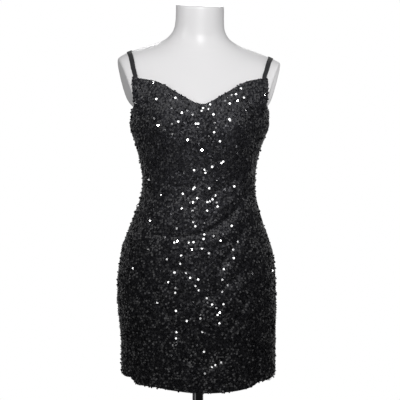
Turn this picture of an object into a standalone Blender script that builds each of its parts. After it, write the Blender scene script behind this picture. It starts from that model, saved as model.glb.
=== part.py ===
"""A short fitted cocktail dress with thin straps, standing on a limbless dress form.

Run it with: blender --background --python part.py

Units are metres and +Z is up. The front of the dress faces -Y, and +X is the wearer's left.
The origin is on the floor, under the middle of the stand's round base.

The figure is a stack of level sections. The dress form is that figure, cut flat at the neck,
the arms and the thighs. The dress is the same figure moved out by the ease of the cloth, with
its own neckline, armholes, hem and folds, and each panel is a wall of even thickness.
"""

import math
from collections import namedtuple

import bmesh
import bpy
import numpy as np

# ---- cloth ----
CLOTH_WALL = 0.0020
SEAM_GAP = 0.0006
STRAP_WIDTH = 0.0100
STRAP_THICKNESS = 0.0012
STRAP_GAP = 0.00060
STRAP_REST = 0.0010
STRAP_TAIL = 0.016
STRAP_BACK_EDGE = 1.331
STRAP_PIVOT_Y = 0.012
STRAP_PIVOT_Z = 1.352
STRAP_RAY = 0.200
STRAP_END_ANGLES = (1.0, 2.2)

# ---- dress form ----
FORM_BOTTOM = 0.800
NECK_TOP = 1.528
NECK_CUT_SLOPE = 0.10
NECK_CUT_STARTS = 1.460
SHOULDER_TILT = 0.045
TILT_STARTS = 1.365
TILT_FULL = 1.425
FORM_OFFSET = 0.0050
ARMPIT_HEIGHT = 1.297
RIGHT_ARMPIT_HALF_SPAN = 0.1518
LEFT_ARMPIT_HALF_SPAN = 0.1500
ARM_CUT_LEAN = 0.270
RIGHT_ARM_CUT_TOE_IN = 0.210
LEFT_ARM_CUT_TOE_IN = 0.150

# ---- bust ----
BUST_HALF_SPAN = 0.076
BUST_HEIGHT = 1.254
BUST_DEPTH = 0.031
BUST_WIDTH = 0.046
BUST_RISE = 0.062
BUST_FALL = 0.044
DRESS_BUST_FALL = 0.068
DRESS_BRIDGE = 0.35

# ---- stand ----
POLE_RADIUS = 0.0125
POLE_FIT = 0.00035
SOCKET_DEPTH = 0.060
BASE_RADIUS = 0.170
BASE_EDGE = 0.006
BASE_TOP = 0.012
BASE_ROUNDING = 0.002
BASE_SHOULDER = 0.72
BASE_LANDING = 0.010
COLLAR_RADIUS = 0.026
COLLAR_HEIGHT = 0.034
COLLAR_CHAMFER = 0.003

# Level sections of the figure. front and back are distances from Y = 0, middle is the Y where
# the section is widest, roundness 2 is an ellipse and sway moves the section sideways.
Section = namedtuple("Section", "height half_width front back middle roundness sway")
FIGURE = [
    Section(0.660, 0.1683, 0.106, 0.112, 0.004, 2.15, -0.0040),
    Section(0.730, 0.1688, 0.107, 0.114, 0.004, 2.15, -0.0040),
    Section(0.766, 0.1688, 0.108, 0.116, 0.005, 2.18, -0.0040),
    Section(0.800, 0.1703, 0.109, 0.119, 0.006, 2.20, -0.0050),
    Section(0.836, 0.1728, 0.110, 0.124, 0.007, 2.22, -0.0065),
    Section(0.870, 0.1740, 0.111, 0.128, 0.008, 2.25, -0.0080),
    Section(0.905, 0.1736, 0.111, 0.130, 0.008, 2.25, -0.0080),
    Section(0.933, 0.1714, 0.110, 0.129, 0.008, 2.25, -0.0077),
    Section(0.960, 0.1678, 0.109, 0.125, 0.008, 2.22, -0.0070),
    Section(0.988, 0.1616, 0.107, 0.118, 0.008, 2.20, -0.0073),
    Section(1.016, 0.1516, 0.104, 0.109, 0.006, 2.18, -0.0073),
    Section(1.043, 0.1404, 0.100, 0.100, 0.003, 2.15, -0.0065),
    Section(1.070, 0.1306, 0.096, 0.091, 0.000, 2.15, -0.0055),
    Section(1.098, 0.1212, 0.092, 0.084, -0.003, 2.12, -0.0042),
    Section(1.125, 0.1172, 0.089, 0.080, -0.004, 2.12, -0.0030),
    Section(1.139, 0.1170, 0.089, 0.080, -0.004, 2.12, -0.0028),
    Section(1.166, 0.1198, 0.091, 0.082, -0.003, 2.15, -0.0030),
    Section(1.193, 0.1261, 0.094, 0.086, 0.000, 2.18, -0.0033),
    Section(1.220, 0.1338, 0.098, 0.091, 0.002, 2.22, -0.0025),
    Section(1.245, 0.1433, 0.100, 0.095, 0.003, 2.33, -0.0020),
    Section(1.262, 0.1482, 0.101, 0.097, 0.004, 2.46, -0.0010),
    Section(1.283, 0.1462, 0.100, 0.099, 0.006, 2.78, 0.0000),
    Section(1.297, 0.1455, 0.098, 0.100, 0.007, 2.95, 0.0005),
    Section(1.303, 0.1515, 0.097, 0.100, 0.007, 2.88, 0.0006),
    Section(1.310, 0.1620, 0.095, 0.100, 0.008, 2.72, 0.0008),
    Section(1.326, 0.1840, 0.091, 0.099, 0.009, 2.54, 0.0010),
    Section(1.346, 0.1985, 0.085, 0.097, 0.010, 2.42, 0.0008),
    Section(1.366, 0.2050, 0.078, 0.094, 0.011, 2.30, 0.0004),
    Section(1.386, 0.2010, 0.070, 0.090, 0.013, 2.15, 0.0000),
    Section(1.400, 0.1905, 0.064, 0.086, 0.014, 2.02, 0.0000),
    Section(1.409, 0.1785, 0.060, 0.083, 0.015, 1.92, 0.0000),
    Section(1.416, 0.1650, 0.057, 0.081, 0.016, 1.82, 0.0000),
    Section(1.424, 0.1450, 0.054, 0.078, 0.016, 1.72, 0.0000),
    Section(1.432, 0.1215, 0.051, 0.075, 0.015, 1.68, -0.0005),
    Section(1.441, 0.0950, 0.049, 0.072, 0.014, 1.72, -0.0010),
    Section(1.450, 0.0765, 0.048, 0.069, 0.012, 1.82, -0.0015),
    Section(1.458, 0.0668, 0.048, 0.066, 0.010, 1.92, -0.0020),
    Section(1.467, 0.0600, 0.049, 0.062, 0.007, 2.00, -0.0015),
    Section(1.481, 0.0550, 0.051, 0.056, 0.002, 2.05, -0.0010),
    Section(1.500, 0.0535, 0.054, 0.050, -0.003, 2.08, -0.0003),
    Section(1.530, 0.0530, 0.058, 0.045, -0.007, 2.08, 0.0000),
]

# How far the cloth's outer face stands off the figure.
Ease = namedtuple("Ease", "height off")
EASE = [
    Ease(0.660, 0.0065),
    Ease(0.760, 0.0062),
    Ease(0.870, 0.0050),
    Ease(0.960, 0.0050),
    Ease(1.043, 0.0062),
    Ease(1.125, 0.0080),
    Ease(1.193, 0.0064),
    Ease(1.262, 0.0055),
    Ease(1.283, 0.0058),
    Ease(1.297, 0.0064),
    Ease(1.340, 0.0066),
    Ease(1.370, 0.0070),
    Ease(1.450, 0.0070),
]

# The neckline by distance from the middle of its V.
Neckline = namedtuple("Neckline", "across height")
NECKLINE_MIDDLE = 0.0040
NECKLINE = [
    Neckline(0.0000, 1.3110),
    Neckline(0.0070, 1.3118),
    Neckline(0.0193, 1.3170),
    Neckline(0.0450, 1.3312),
    Neckline(0.0834, 1.3530),
    Neckline(0.0970, 1.3590),
    Neckline(0.1102, 1.3622),
    Neckline(0.1360, 1.3665),
    Neckline(0.1480, 1.3680),
]

# The armholes: how far round its section the front reaches, as a share of the half width.
Armhole = namedtuple("Armhole", "height share")
ARMHOLE = [
    Armhole(1.2965, 1.000),
    Armhole(1.3010, 0.955),
    Armhole(1.3070, 0.885),
    Armhole(1.3144, 0.823),
    Armhole(1.3277, 0.764),
    Armhole(1.3410, 0.727),
    Armhole(1.3545, 0.705),
    Armhole(1.3680, 0.690),
]

# The back's top edge by the share of the section's half width.
BackTop = namedtuple("BackTop", "share height")
BACK_TOP = [
    BackTop(0.000, 1.3250),
    BackTop(0.350, 1.3290),
    BackTop(0.560, 1.3350),
    BackTop(0.640, 1.3290),
    BackTop(0.760, 1.3140),
    BackTop(0.900, 1.3010),
    BackTop(1.000, 1.2965),
]

# The hem's height by distance from the middle, with the step that the side folds make in it.
Hem = namedtuple("Hem", "across height")
HEM_FRONT = [
    Hem(-0.185, 0.6958),
    Hem(-0.168, 0.6968),
    Hem(-0.1566, 0.6988),
    Hem(-0.1420, 0.6858),
    Hem(-0.1290, 0.6873),
    Hem(-0.1015, 0.6883),
    Hem(-0.0738, 0.6842),
    Hem(-0.0461, 0.6815),
    Hem(-0.0185, 0.6789),
    Hem(0.0231, 0.6778),
    Hem(0.0784, 0.6798),
    Hem(0.1061, 0.6828),
    Hem(0.1199, 0.6858),
    Hem(0.1337, 0.6923),
    Hem(0.1600, 0.6933),
    Hem(0.185, 0.6933),
]
HEM_BACK = [
    Hem(-0.185, 0.6958),
    Hem(-0.120, 0.6893),
    Hem(0.000, 0.6838),
    Hem(0.110, 0.6878),
    Hem(0.185, 0.6933),
]

# A strap's middle by its angle over the shoulder, from front to back. on_form is 0 where it
# lies behind the cloth and 1 where it rests on the form.
StrapRoute = namedtuple("StrapRoute", "angle across on_form")
STRAP_ROUTE = [
    StrapRoute(-1.700, 0.1360, 0.0),
    StrapRoute(-1.410, 0.1405, 0.0),
    StrapRoute(-1.250, 0.1428, 0.0),
    StrapRoute(-1.050, 0.1455, 1.0),
    StrapRoute(-0.700, 0.1503, 1.0),
    StrapRoute(-0.350, 0.1552, 1.0),
    StrapRoute(-0.050, 0.1583, 1.0),
    StrapRoute(0.600, 0.1490, 1.0),
    StrapRoute(1.300, 0.1190, 1.0),
    StrapRoute(1.650, 0.1080, 0.0),
    StrapRoute(2.200, 0.1030, 0.0),
]

# Soft folds. A negative depth is a trough, and a positive one a ridge.
Fold = namedtuple("Fold", "from_x from_z to_x to_z sag width depth")
FOLDS_REACH_HEM_BELOW = 0.72
FOLD_FADE_OUTSIDE = 0.15
FOLD_FADE_INSIDE = 0.35
FOLD_FADE_AT_SEAM = 0.35
FOLD_SPREAD = 0.65
FRONT_FOLDS = [
    Fold(0.098, 1.165, 0.006, 1.102, 0.004, 0.0070, -0.0024),
    Fold(0.104, 1.112, -0.098, 1.026, 0.038, 0.0072, -0.0034),
    Fold(0.092, 1.066, 0.022, 1.006, 0.004, 0.0105, 0.0031),
    Fold(0.100, 1.044, 0.030, 0.948, 0.008, 0.0068, -0.0027),
    Fold(0.110, 0.972, -0.020, 0.880, 0.018, 0.0068, -0.0026),
    Fold(0.116, 0.900, 0.052, 0.800, 0.004, 0.0066, -0.0026),
    Fold(-0.108, 0.912, -0.024, 0.776, 0.006, 0.0066, -0.0026),
    Fold(-0.104, 1.200, -0.036, 1.166, 0.002, 0.0085, -0.0016),
    Fold(0.127, 0.830, 0.128, 0.690, 0.000, 0.0130, -0.0044),
    Fold(-0.151, 0.800, -0.149, 0.690, 0.000, 0.0110, -0.0046),
    Fold(-0.110, 0.790, -0.104, 0.686, 0.000, 0.0150, 0.0030),
]
BACK_FOLDS = [
    Fold(-0.100, 1.140, 0.010, 1.110, 0.006, 0.0090, -0.0032),
    Fold(0.098, 1.112, -0.030, 1.062, 0.014, 0.0090, -0.0032),
    Fold(-0.092, 1.086, -0.016, 1.050, 0.006, 0.0095, 0.0024),
    Fold(-0.118, 1.030, -0.046, 0.955, 0.006, 0.0085, -0.0022),
    Fold(0.122, 1.026, 0.050, 0.946, 0.006, 0.0085, -0.0022),
    Fold(0.070, 0.830, 0.074, 0.686, 0.000, 0.0150, -0.0042),
    Fold(-0.096, 0.815, -0.100, 0.688, 0.000, 0.0140, -0.0040),
    Fold(-0.014, 0.800, -0.012, 0.684, 0.000, 0.0160, 0.0026),
]

# ---- how finely the shapes are cut ----
FRONT_COLUMNS = 38
BACK_COLUMNS = 34
SEAM_ROWS = 32
ARMHOLE_ROWS = 9
ARMHOLE_CROWDING = 1.25
ARMPIT_LEVEL_DIP = 0.6
ARMHOLE_HOLD = 4
DRAW_IN_STARTS = 1.180
FORM_COLUMNS = 48
FORM_ROW_HEIGHT = 0.019
LEAST_ROW_HEIGHT = 0.005
SHOULDER_ENDS = 1.470
STRAP_ROWS = 32
STRAP_COLUMNS = 2
STRAP_STEP = 1e-4
STRAP_END_STEPS = 500
ROUND_SEGMENTS = 48
SHARP_ANGLE = 50
QUARTER_TURN = math.pi / 2

# ---- how closely an edge or a surface is found by trying again ----
EDGE_ROUNDS = 12
RAY_ROUNDS = 40
MERGE_DISTANCE = 1e-6

# ---- finishes, with linear colours ----
Finish = namedtuple("Finish", "name colour roughness metallic")
SEQUIN_BLACK = Finish("sequinned_cloth", (0.012, 0.012, 0.013, 1.0), 0.35, 0.0)
ELASTIC_GREY = Finish("strap_elastic", (0.036, 0.036, 0.038, 1.0), 0.60, 0.0)
FORM_WHITE = Finish("form_lacquer", (0.72, 0.72, 0.71, 1.0), 0.25, 0.0)
CHROME = Finish("stand_chrome", (0.55, 0.55, 0.56, 1.0), 0.12, 1.0)


def clear_scene():
    for thing in list(bpy.data.objects):
        bpy.data.objects.remove(thing, do_unlink=True)


def material(finish):
    """A Principled BSDF with the finish's colour, roughness and metallic value."""
    made = bpy.data.materials.new(finish.name)
    made.use_nodes = True
    shader = made.node_tree.nodes["Principled BSDF"]
    shader.inputs["Base Color"].default_value = finish.colour
    shader.inputs["Roughness"].default_value = finish.roughness
    shader.inputs["Metallic"].default_value = finish.metallic
    return made


def read(table, column, at):
    """A smooth curve through a table's column that never overshoots its rows."""
    knots = np.array([row[0] for row in table])
    values = np.array([getattr(row, column) for row in table])
    at = np.clip(np.asarray(at, float), knots[0], knots[-1])
    spans = np.diff(knots)
    rises = np.diff(values) / spans
    before, after = rises[:-1], rises[1:]
    turning = before * after <= 0
    inner = np.where(turning, 0.0, 2 * before * after / np.where(turning, 1.0, before + after))
    slopes = np.concatenate([rises[:1], inner, rises[-1:]])
    k = np.clip(np.searchsorted(knots, at, side="right") - 1, 0, len(spans) - 1)
    span, t = spans[k], (at - knots[k]) / spans[k]
    start = values[k] * (1 + 2 * t) * (1 - t) ** 2 + slopes[k] * span * t * (1 - t) ** 2
    end = values[k + 1] * t**2 * (3 - 2 * t) - slopes[k + 1] * span * t**2 * (1 - t)
    return start + end


def smoothstep(low, high, at):
    t = np.clip((at - low) / (high - low), 0.0, 1.0)
    return t * t * (3 - 2 * t)


def tilted(points):
    """The shoulders tilt: the wearer's right one is a little higher."""
    share = smoothstep(TILT_STARTS, TILT_FULL, points[..., 2])
    lift = -SHOULDER_TILT * points[..., 0] * share
    return points + np.stack([np.zeros_like(lift), np.zeros_like(lift), lift], axis=-1)


def on_stand(points):
    """The form hangs a little to one side of the pole."""
    return points + np.array([FORM_OFFSET, 0.0, 0.0])


def bust(x, z, bridge, fall):
    """How far the bust stands out of the chest. bridge fills the hollow between its halves."""
    away = (np.abs(x) - BUST_HALF_SPAN) / BUST_WIDTH
    across = np.where(away < 0, away * (1 - bridge), away)
    up = (z - BUST_HEIGHT) / np.where(z > BUST_HEIGHT, BUST_RISE, fall)
    return BUST_DEPTH * np.exp(-(across**2) - up**2)


def section_points(turn, height, ease=0.0, bridge=0.0, fall=BUST_FALL):
    """Points of the figure, moved out by ease. turn is 0 in front and grows towards +X."""
    turn, height = np.broadcast_arrays(np.asarray(turn, float), np.asarray(height, float))
    power = 2 / read(FIGURE, "roundness", height)
    middle = read(FIGURE, "middle", height)
    half_width = read(FIGURE, "half_width", height) + ease
    front = read(FIGURE, "front", height) + middle + ease
    back = read(FIGURE, "back", height) - middle + ease
    sine, cosine = np.sin(turn), np.cos(turn)
    x = read(FIGURE, "sway", height) + half_width * np.sign(sine) * np.abs(sine) ** power
    depth = np.where(cosine > 0, front, back)
    y = middle - depth * np.sign(cosine) * np.abs(cosine) ** power
    ahead = np.clip(cosine, 0.0, 1.0) ** 0.5
    y = y - bust(x, height, bridge, fall) * ahead
    return np.stack([x, y, height], axis=-1)


def fold_depth(folds, x, z):
    """The folds' in and out: soft grooves that fade at both ends and sag in between.

    A groove's middle line is a parabola, lowest by its sag halfway, and its section is a bell.
    """
    total = np.zeros_like(x)
    for fold in folds:
        run = np.array([fold.to_x - fold.from_x, fold.to_z - fold.from_z])
        length = np.hypot(*run)
        along = ((x - fold.from_x) * run[0] + (z - fold.from_z) * run[1]) / length**2
        level = z + 4 * fold.sag * along * (1 - along) - fold.from_z
        aside = ((x - fold.from_x) * run[1] - level * run[0]) / length
        fade = smoothstep(-FOLD_FADE_OUTSIDE, FOLD_FADE_INSIDE, along)
        if fold.to_z > FOLDS_REACH_HEM_BELOW:
            fade = fade * smoothstep(-FOLD_FADE_OUTSIDE, FOLD_FADE_INSIDE, 1 - along)
        total = total + fold.depth * fade * np.exp(-((aside / fold.width) ** 2))
    return total


def cloth_points(turn, height):
    """Points of the cloth's outer face, which is the figure with ease, bridged bust and folds."""
    ease = read(EASE, "off", height)
    points = section_points(turn, height, ease, DRESS_BRIDGE, DRESS_BUST_FALL)
    in_front = np.cos(turn) > 0
    x, z = points[..., 0], points[..., 2]
    depth = np.where(in_front, fold_depth(FRONT_FOLDS, x, z), fold_depth(BACK_FOLDS, x, z))
    depth = depth * smoothstep(0.0, FOLD_FADE_AT_SEAM, np.abs(np.cos(turn)))
    ahead = points[..., 1] - read(FIGURE, "middle", z)
    away = np.stack([FOLD_SPREAD * x, ahead, np.zeros_like(z)], axis=-1)
    away = away / np.linalg.norm(away, axis=-1, keepdims=True)
    return points + depth[..., None] * away


def armhole_turn(height):
    """How far round the front panel reaches at a height: a quarter turn up to the armpit."""
    share = np.where(height > ARMHOLE[0].height, read(ARMHOLE, "share", height), 1.0)
    return np.arcsin(share ** (read(FIGURE, "roundness", height) / 2))


def neckline_height(turn):
    """The neckline's height, found by reading it again at the place that it leads to."""
    height = np.full_like(turn, NECKLINE[-1].height)
    for _ in range(EDGE_ROUNDS):
        across = np.abs(cloth_points(turn, height)[..., 0] - NECKLINE_MIDDLE)
        height = read(NECKLINE, "height", across)
    return height


def back_top_height(turn):
    """The height of the back's top edge, found in the same way from the share of the width."""
    height = np.full_like(turn, BACK_TOP[0].height)
    for _ in range(EDGE_ROUNDS):
        share = np.abs(np.sin(turn)) ** (2 / read(FIGURE, "roundness", height))
        height = read(BACK_TOP, "height", share)
    return height


def hem_height(table, turn):
    """The hem's height, found in the same way from the distance across."""
    height = np.full_like(turn, table[0].height)
    for _ in range(EDGE_ROUNDS):
        height = read(table, "height", cloth_points(turn, height)[..., 0])
    return height


def cloth_piece(name, outer, wall, finish):
    """A sheet of cloth over a grid of points, rows by columns, given its wall inwards."""
    rows, columns = outer.shape[:2]
    number = np.arange(rows * columns).reshape(rows, columns)
    corners = [number[:-1, :-1], number[:-1, 1:], number[1:, 1:], number[1:, :-1]]
    faces = np.stack(corners, axis=-1).reshape(-1, 4)
    mesh = bpy.data.meshes.new(name)
    mesh.from_pydata(outer.reshape(-1, 3).tolist(), [], faces.tolist())
    made = finished(name, mesh, finish)
    solidify = made.modifiers.new("wall", "SOLIDIFY")
    solidify.thickness = wall
    solidify.offset = -1.0
    solidify.use_even_offset = True
    solidify.use_quality_normals = True
    return made


def finished(name, mesh, finish):
    """The mesh as an object in the scene, shaded smooth between its sharp edges."""
    mesh.shade_smooth()
    mesh.set_sharp_from_angle(angle=math.radians(SHARP_ANGLE))
    mesh.materials.append(finish)
    made = bpy.data.objects.new(name, mesh)
    bpy.context.collection.objects.link(made)
    return made


def panel(name, turn, height, seam_shift, finish):
    """A cloth panel over a grid of turns and heights, held back from its side seams."""
    outer = cloth_points(turn, height) + np.array([0.0, seam_shift, 0.0])
    return cloth_piece(name, on_stand(outer), CLOTH_WALL, finish)


def front_panel(finish):
    """The front: its side columns rise up the side seams, then round the armholes.

    A column's turn is a share of the way to the panel's side. hold says how much it follows the
    armhole, which is all at the side and nothing in the middle.
    """
    across = np.linspace(-1.0, 1.0, FRONT_COLUMNS + 1)[None, :]
    hold = np.abs(across) ** ARMHOLE_HOLD
    corner = armhole_turn(np.array(NECKLINE[-1].height))
    top = np.full_like(across, NECKLINE[-1].height)
    for _ in range(EDGE_ROUNDS):
        top = neckline_height(across * (corner * (1 - hold) + armhole_turn(top) * hold))
    hem = hem_height(HEM_FRONT, QUARTER_TURN * across)
    level = ARMHOLE[0].height - ARMPIT_LEVEL_DIP * (NECKLINE[-1].height - top)
    lower = np.linspace(0.0, 1.0, SEAM_ROWS + 1)[:, None]
    upper = np.linspace(0.0, 1.0, ARMHOLE_ROWS + 1)[1:, None] ** ARMHOLE_CROWDING
    height = np.concatenate([hem + (level - hem) * lower, level + (top - level) * upper])
    drawn_in = smoothstep(DRAW_IN_STARTS, top, height)
    easy_turn = QUARTER_TURN - (QUARTER_TURN - corner) * drawn_in
    turn = across * (easy_turn * (1 - hold) + armhole_turn(height) * hold)
    return panel("front_panel", turn, height, -SEAM_GAP / 2, finish)


def back_panel(finish):
    """The back: even columns from side seam to side seam, between its hem and its top edge."""
    turn = np.linspace(QUARTER_TURN, 3 * QUARTER_TURN, BACK_COLUMNS + 1)[None, :]
    hem = hem_height(HEM_BACK, turn)
    top = back_top_height(turn)
    height = hem + (top - hem) * np.linspace(0.0, 1.0, SEAM_ROWS + 1)[:, None]
    turn = np.broadcast_to(turn, height.shape)
    return panel("back_panel", turn, height, SEAM_GAP / 2, finish)


def inside_figure(points, share):
    """Below 0 where a point lies inside the figure moved out by a share of the cloth's ease."""
    x, y, height = points[..., 0], points[..., 1], points[..., 2]
    ease = read(EASE, "off", height) * share
    roundness = read(FIGURE, "roundness", height)
    middle = read(FIGURE, "middle", height)
    in_front = y < middle
    front = read(FIGURE, "front", height) + middle
    back = read(FIGURE, "back", height) - middle
    depth = np.where(in_front, front, back) + ease
    y = np.where(in_front, y + bust(x, height, DRESS_BRIDGE, DRESS_BUST_FALL), y)
    half_width = read(FIGURE, "half_width", height) + ease
    across = np.abs(x - read(FIGURE, "sway", height)) / half_width
    ahead = np.abs(y - middle) / depth
    return across**roundness + ahead**roundness - 1


def over_shoulder(x, angle, share):
    """Where a ray in the upright plane through x leaves the figure moved out by the ease's share.

    angle is 0 straight up and grows towards the back. The rays start inside the shoulder.
    """
    start = np.stack([x, np.full_like(x, STRAP_PIVOT_Y), np.full_like(x, STRAP_PIVOT_Z)], axis=-1)
    way = np.stack([np.zeros_like(x), np.sin(angle), np.cos(angle)], axis=-1)
    near, far = np.zeros_like(x), np.full_like(x, STRAP_RAY)
    for _ in range(RAY_ROUNDS):
        half = (near + far) / 2
        inside = inside_figure(start + half[..., None] * way, share) < 0
        near = np.where(inside, half, near)
        far = np.where(inside, far, half)
    return start + near[..., None] * way


def strap(name, side, finish):
    """A flat ribbon over one shoulder, with both ends tucked behind the panels."""

    def surface(aside, angle):
        x = side * read(STRAP_ROUTE, "across", angle) + aside
        return over_shoulder(x, angle, 1 - read(STRAP_ROUTE, "on_form", angle))

    ends = [tail_angle(surface, way) for way in (-1, 1)]
    angle = np.linspace(*ends, STRAP_ROWS + 1)[:, None]
    aside = np.linspace(-STRAP_WIDTH / 2, STRAP_WIDTH / 2, STRAP_COLUMNS + 1)[None, :]
    aside, angle = np.broadcast_arrays(aside, angle)
    along = surface(aside + STRAP_STEP, angle) - surface(aside - STRAP_STEP, angle)
    up = surface(aside, angle + STRAP_STEP) - surface(aside, angle - STRAP_STEP)
    normal = np.cross(along, up)
    normal = normal / np.linalg.norm(normal, axis=-1, keepdims=True)
    behind = -(CLOTH_WALL + SEAM_GAP / 2 + STRAP_GAP)
    on_form = read(STRAP_ROUTE, "on_form", angle)[..., None]
    off = behind * (1 - on_form) + (STRAP_REST + STRAP_THICKNESS) * on_form
    outer = surface(aside, angle) + off * normal
    return cloth_piece(name, on_stand(tilted(outer)), STRAP_THICKNESS, finish)


def tail_angle(surface, way):
    """The angle at which a strap's end lies STRAP_TAIL below the edge that it is sewn behind."""
    edge = NECKLINE[-1].height if way < 0 else STRAP_BACK_EDGE
    angles = way * np.linspace(*STRAP_END_ANGLES, STRAP_END_STEPS)
    height = surface(np.zeros_like(angles), angles)[..., 2]
    return float(angles[np.argmin(np.abs(height - (edge - STRAP_TAIL)))])


def cut_arm(shape, side):
    """Cuts an arm off above the armpit by a leaning plane, and closes the cut with one face."""
    toe_in = RIGHT_ARM_CUT_TOE_IN if side < 0 else LEFT_ARM_CUT_TOE_IN
    half_span = RIGHT_ARMPIT_HALF_SPAN if side < 0 else LEFT_ARMPIT_HALF_SPAN
    normal = (side, -toe_in, -ARM_CUT_LEAN)
    place = (side * half_span + FORM_OFFSET, 0.0, ARMPIT_HEIGHT)
    floor = ARMPIT_HEIGHT - MERGE_DISTANCE
    above = [face for face in shape.faces if min(v.co.z for v in face.verts) > floor]
    edges = {edge for face in above for edge in face.edges}
    points = {point for face in above for point in face.verts}
    cut = bmesh.ops.bisect_plane(
        shape,
        geom=list(points) + list(edges) + above,
        plane_co=place,
        plane_no=normal,
        clear_outer=True,
        dist=MERGE_DISTANCE,
    )
    border = [part for part in cut["geom_cut"] if isinstance(part, bmesh.types.BMEdge)]
    bmesh.ops.contextual_create(shape, geom=border)


def form_heights():
    """The torso's levels: even ones, and the figure's own where the shoulders curve fast."""
    curved = [row.height for row in FIGURE if ARMPIT_HEIGHT <= row.height < SHOULDER_ENDS]
    shoulder = np.array(curved)
    rows = round((NECK_TOP - FORM_BOTTOM) / FORM_ROW_HEIGHT)
    even = np.linspace(FORM_BOTTOM, NECK_TOP, rows + 1)
    apart = np.min(np.abs(even[:, None] - shoulder[None, :]), axis=1)
    return np.sort(np.concatenate([even[apart > LEAST_ROW_HEIGHT], shoulder]))


def socket_circle(turns, height):
    """The pole's socket, centred on the pole and not on the form."""
    radius = POLE_RADIUS + POLE_FIT
    x = radius * np.sin(turns) - FORM_OFFSET
    return np.stack([x, -radius * np.cos(turns), np.full_like(turns, height)], axis=-1)


def form_torso(finish):
    """The figure from thighs to neck, with a socket for the pole in its flat underside."""
    turns = np.linspace(0.0, 2 * math.pi, FORM_COLUMNS, endpoint=False)
    body = section_points(turns[None, :], form_heights()[:, None])
    slope = NECK_CUT_SLOPE * smoothstep(NECK_CUT_STARTS, NECK_TOP, body[..., 2])
    body[..., 2] += slope * body[..., 1]
    socket = [socket_circle(turns, FORM_BOTTOM + SOCKET_DEPTH), socket_circle(turns, FORM_BOTTOM)]
    levels = on_stand(np.concatenate([np.stack(socket), tilted(body)]))
    shape = bmesh.new()
    rings = [[shape.verts.new(point) for point in level] for level in levels]
    for below, above in zip(rings, rings[1:]):
        for i in range(FORM_COLUMNS):
            shape.faces.new((below[i - 1], below[i], above[i], above[i - 1]))
    shape.faces.new(rings[0][::-1])
    shape.faces.new(rings[-1])
    for side in (-1, 1):
        cut_arm(shape, side)
    bmesh.ops.triangulate(shape, faces=[face for face in shape.faces if len(face.verts) > 4])
    bmesh.ops.recalc_face_normals(shape, faces=shape.faces)
    mesh = bpy.data.meshes.new("form_torso")
    shape.to_mesh(mesh)
    shape.free()
    return finished("form_torso", mesh, finish)


def lathed(name, profile, finish):
    """A turned piece from the (radius, height) corners of its half section.

    The outline closes on itself, or runs along the axis where both its ends lie there.
    """
    shape = bmesh.new()
    points = [shape.verts.new((radius, 0.0, height)) for radius, height in profile]
    on_axis = profile[0][0] == 0.0 and profile[-1][0] == 0.0
    ends = zip(points, points[1:] if on_axis else points[1:] + points[:1])
    edges = [shape.edges.new(pair) for pair in ends]
    bmesh.ops.spin(
        shape,
        geom=points + edges,
        axis=(0.0, 0.0, 1.0),
        cent=(0.0, 0.0, 0.0),
        steps=ROUND_SEGMENTS,
        angle=2 * math.pi,
        use_merge=True,
    )
    bmesh.ops.remove_doubles(shape, verts=shape.verts, dist=MERGE_DISTANCE)
    bmesh.ops.recalc_face_normals(shape, faces=shape.faces)
    mesh = bpy.data.meshes.new(name)
    shape.to_mesh(mesh)
    shape.free()
    return finished(name, mesh, finish)


def base_plate(finish):
    """A round weighted plate that rises a little towards the pole."""
    profile = [
        (0.0, 0.0),
        (BASE_RADIUS, 0.0),
        (BASE_RADIUS, BASE_EDGE),
        (BASE_RADIUS - BASE_ROUNDING, BASE_EDGE + BASE_ROUNDING),
        (BASE_RADIUS * BASE_SHOULDER, BASE_TOP - BASE_ROUNDING / 2),
        (COLLAR_RADIUS + BASE_LANDING, BASE_TOP),
        (0.0, BASE_TOP),
    ]
    lathed("base_plate", profile, finish)


def base_collar(finish):
    """The ring that holds the pole upright on the plate."""
    foot = BASE_TOP + SEAM_GAP
    top = foot + COLLAR_HEIGHT
    bore = POLE_RADIUS + POLE_FIT
    profile = [
        (bore, foot),
        (COLLAR_RADIUS, foot),
        (COLLAR_RADIUS, top - COLLAR_CHAMFER),
        (COLLAR_RADIUS - COLLAR_CHAMFER, top),
        (bore, top),
    ]
    lathed("base_collar", profile, finish)


def form_pole(finish):
    """The pole from the plate up into the form's socket."""
    foot = BASE_TOP + SEAM_GAP
    top = FORM_BOTTOM + SOCKET_DEPTH - SEAM_GAP
    lathed("form_pole", [(0.0, foot), (POLE_RADIUS, foot), (POLE_RADIUS, top), (0.0, top)], finish)


def main():
    clear_scene()
    cloth = material(SEQUIN_BLACK)
    elastic = material(ELASTIC_GREY)
    lacquer = material(FORM_WHITE)
    chrome = material(CHROME)
    front_panel(cloth)
    back_panel(cloth)
    strap("strap_right", -1, elastic)
    strap("strap_left", 1, elastic)
    form_torso(lacquer)
    form_pole(chrome)
    base_collar(chrome)
    base_plate(chrome)


main()
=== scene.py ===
"""A sequinned cocktail dress on a white limbless dress form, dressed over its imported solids.

Units are metres and +Z is up. The front of the dress faces -Y and +X is the wearer's left. The
figure is a stack of level superellipse sections, the form is that figure cut flat at the neck,
the arms and the thighs, and the cloth is the same figure moved out by its ease.
"""

import math
from collections import namedtuple

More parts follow.
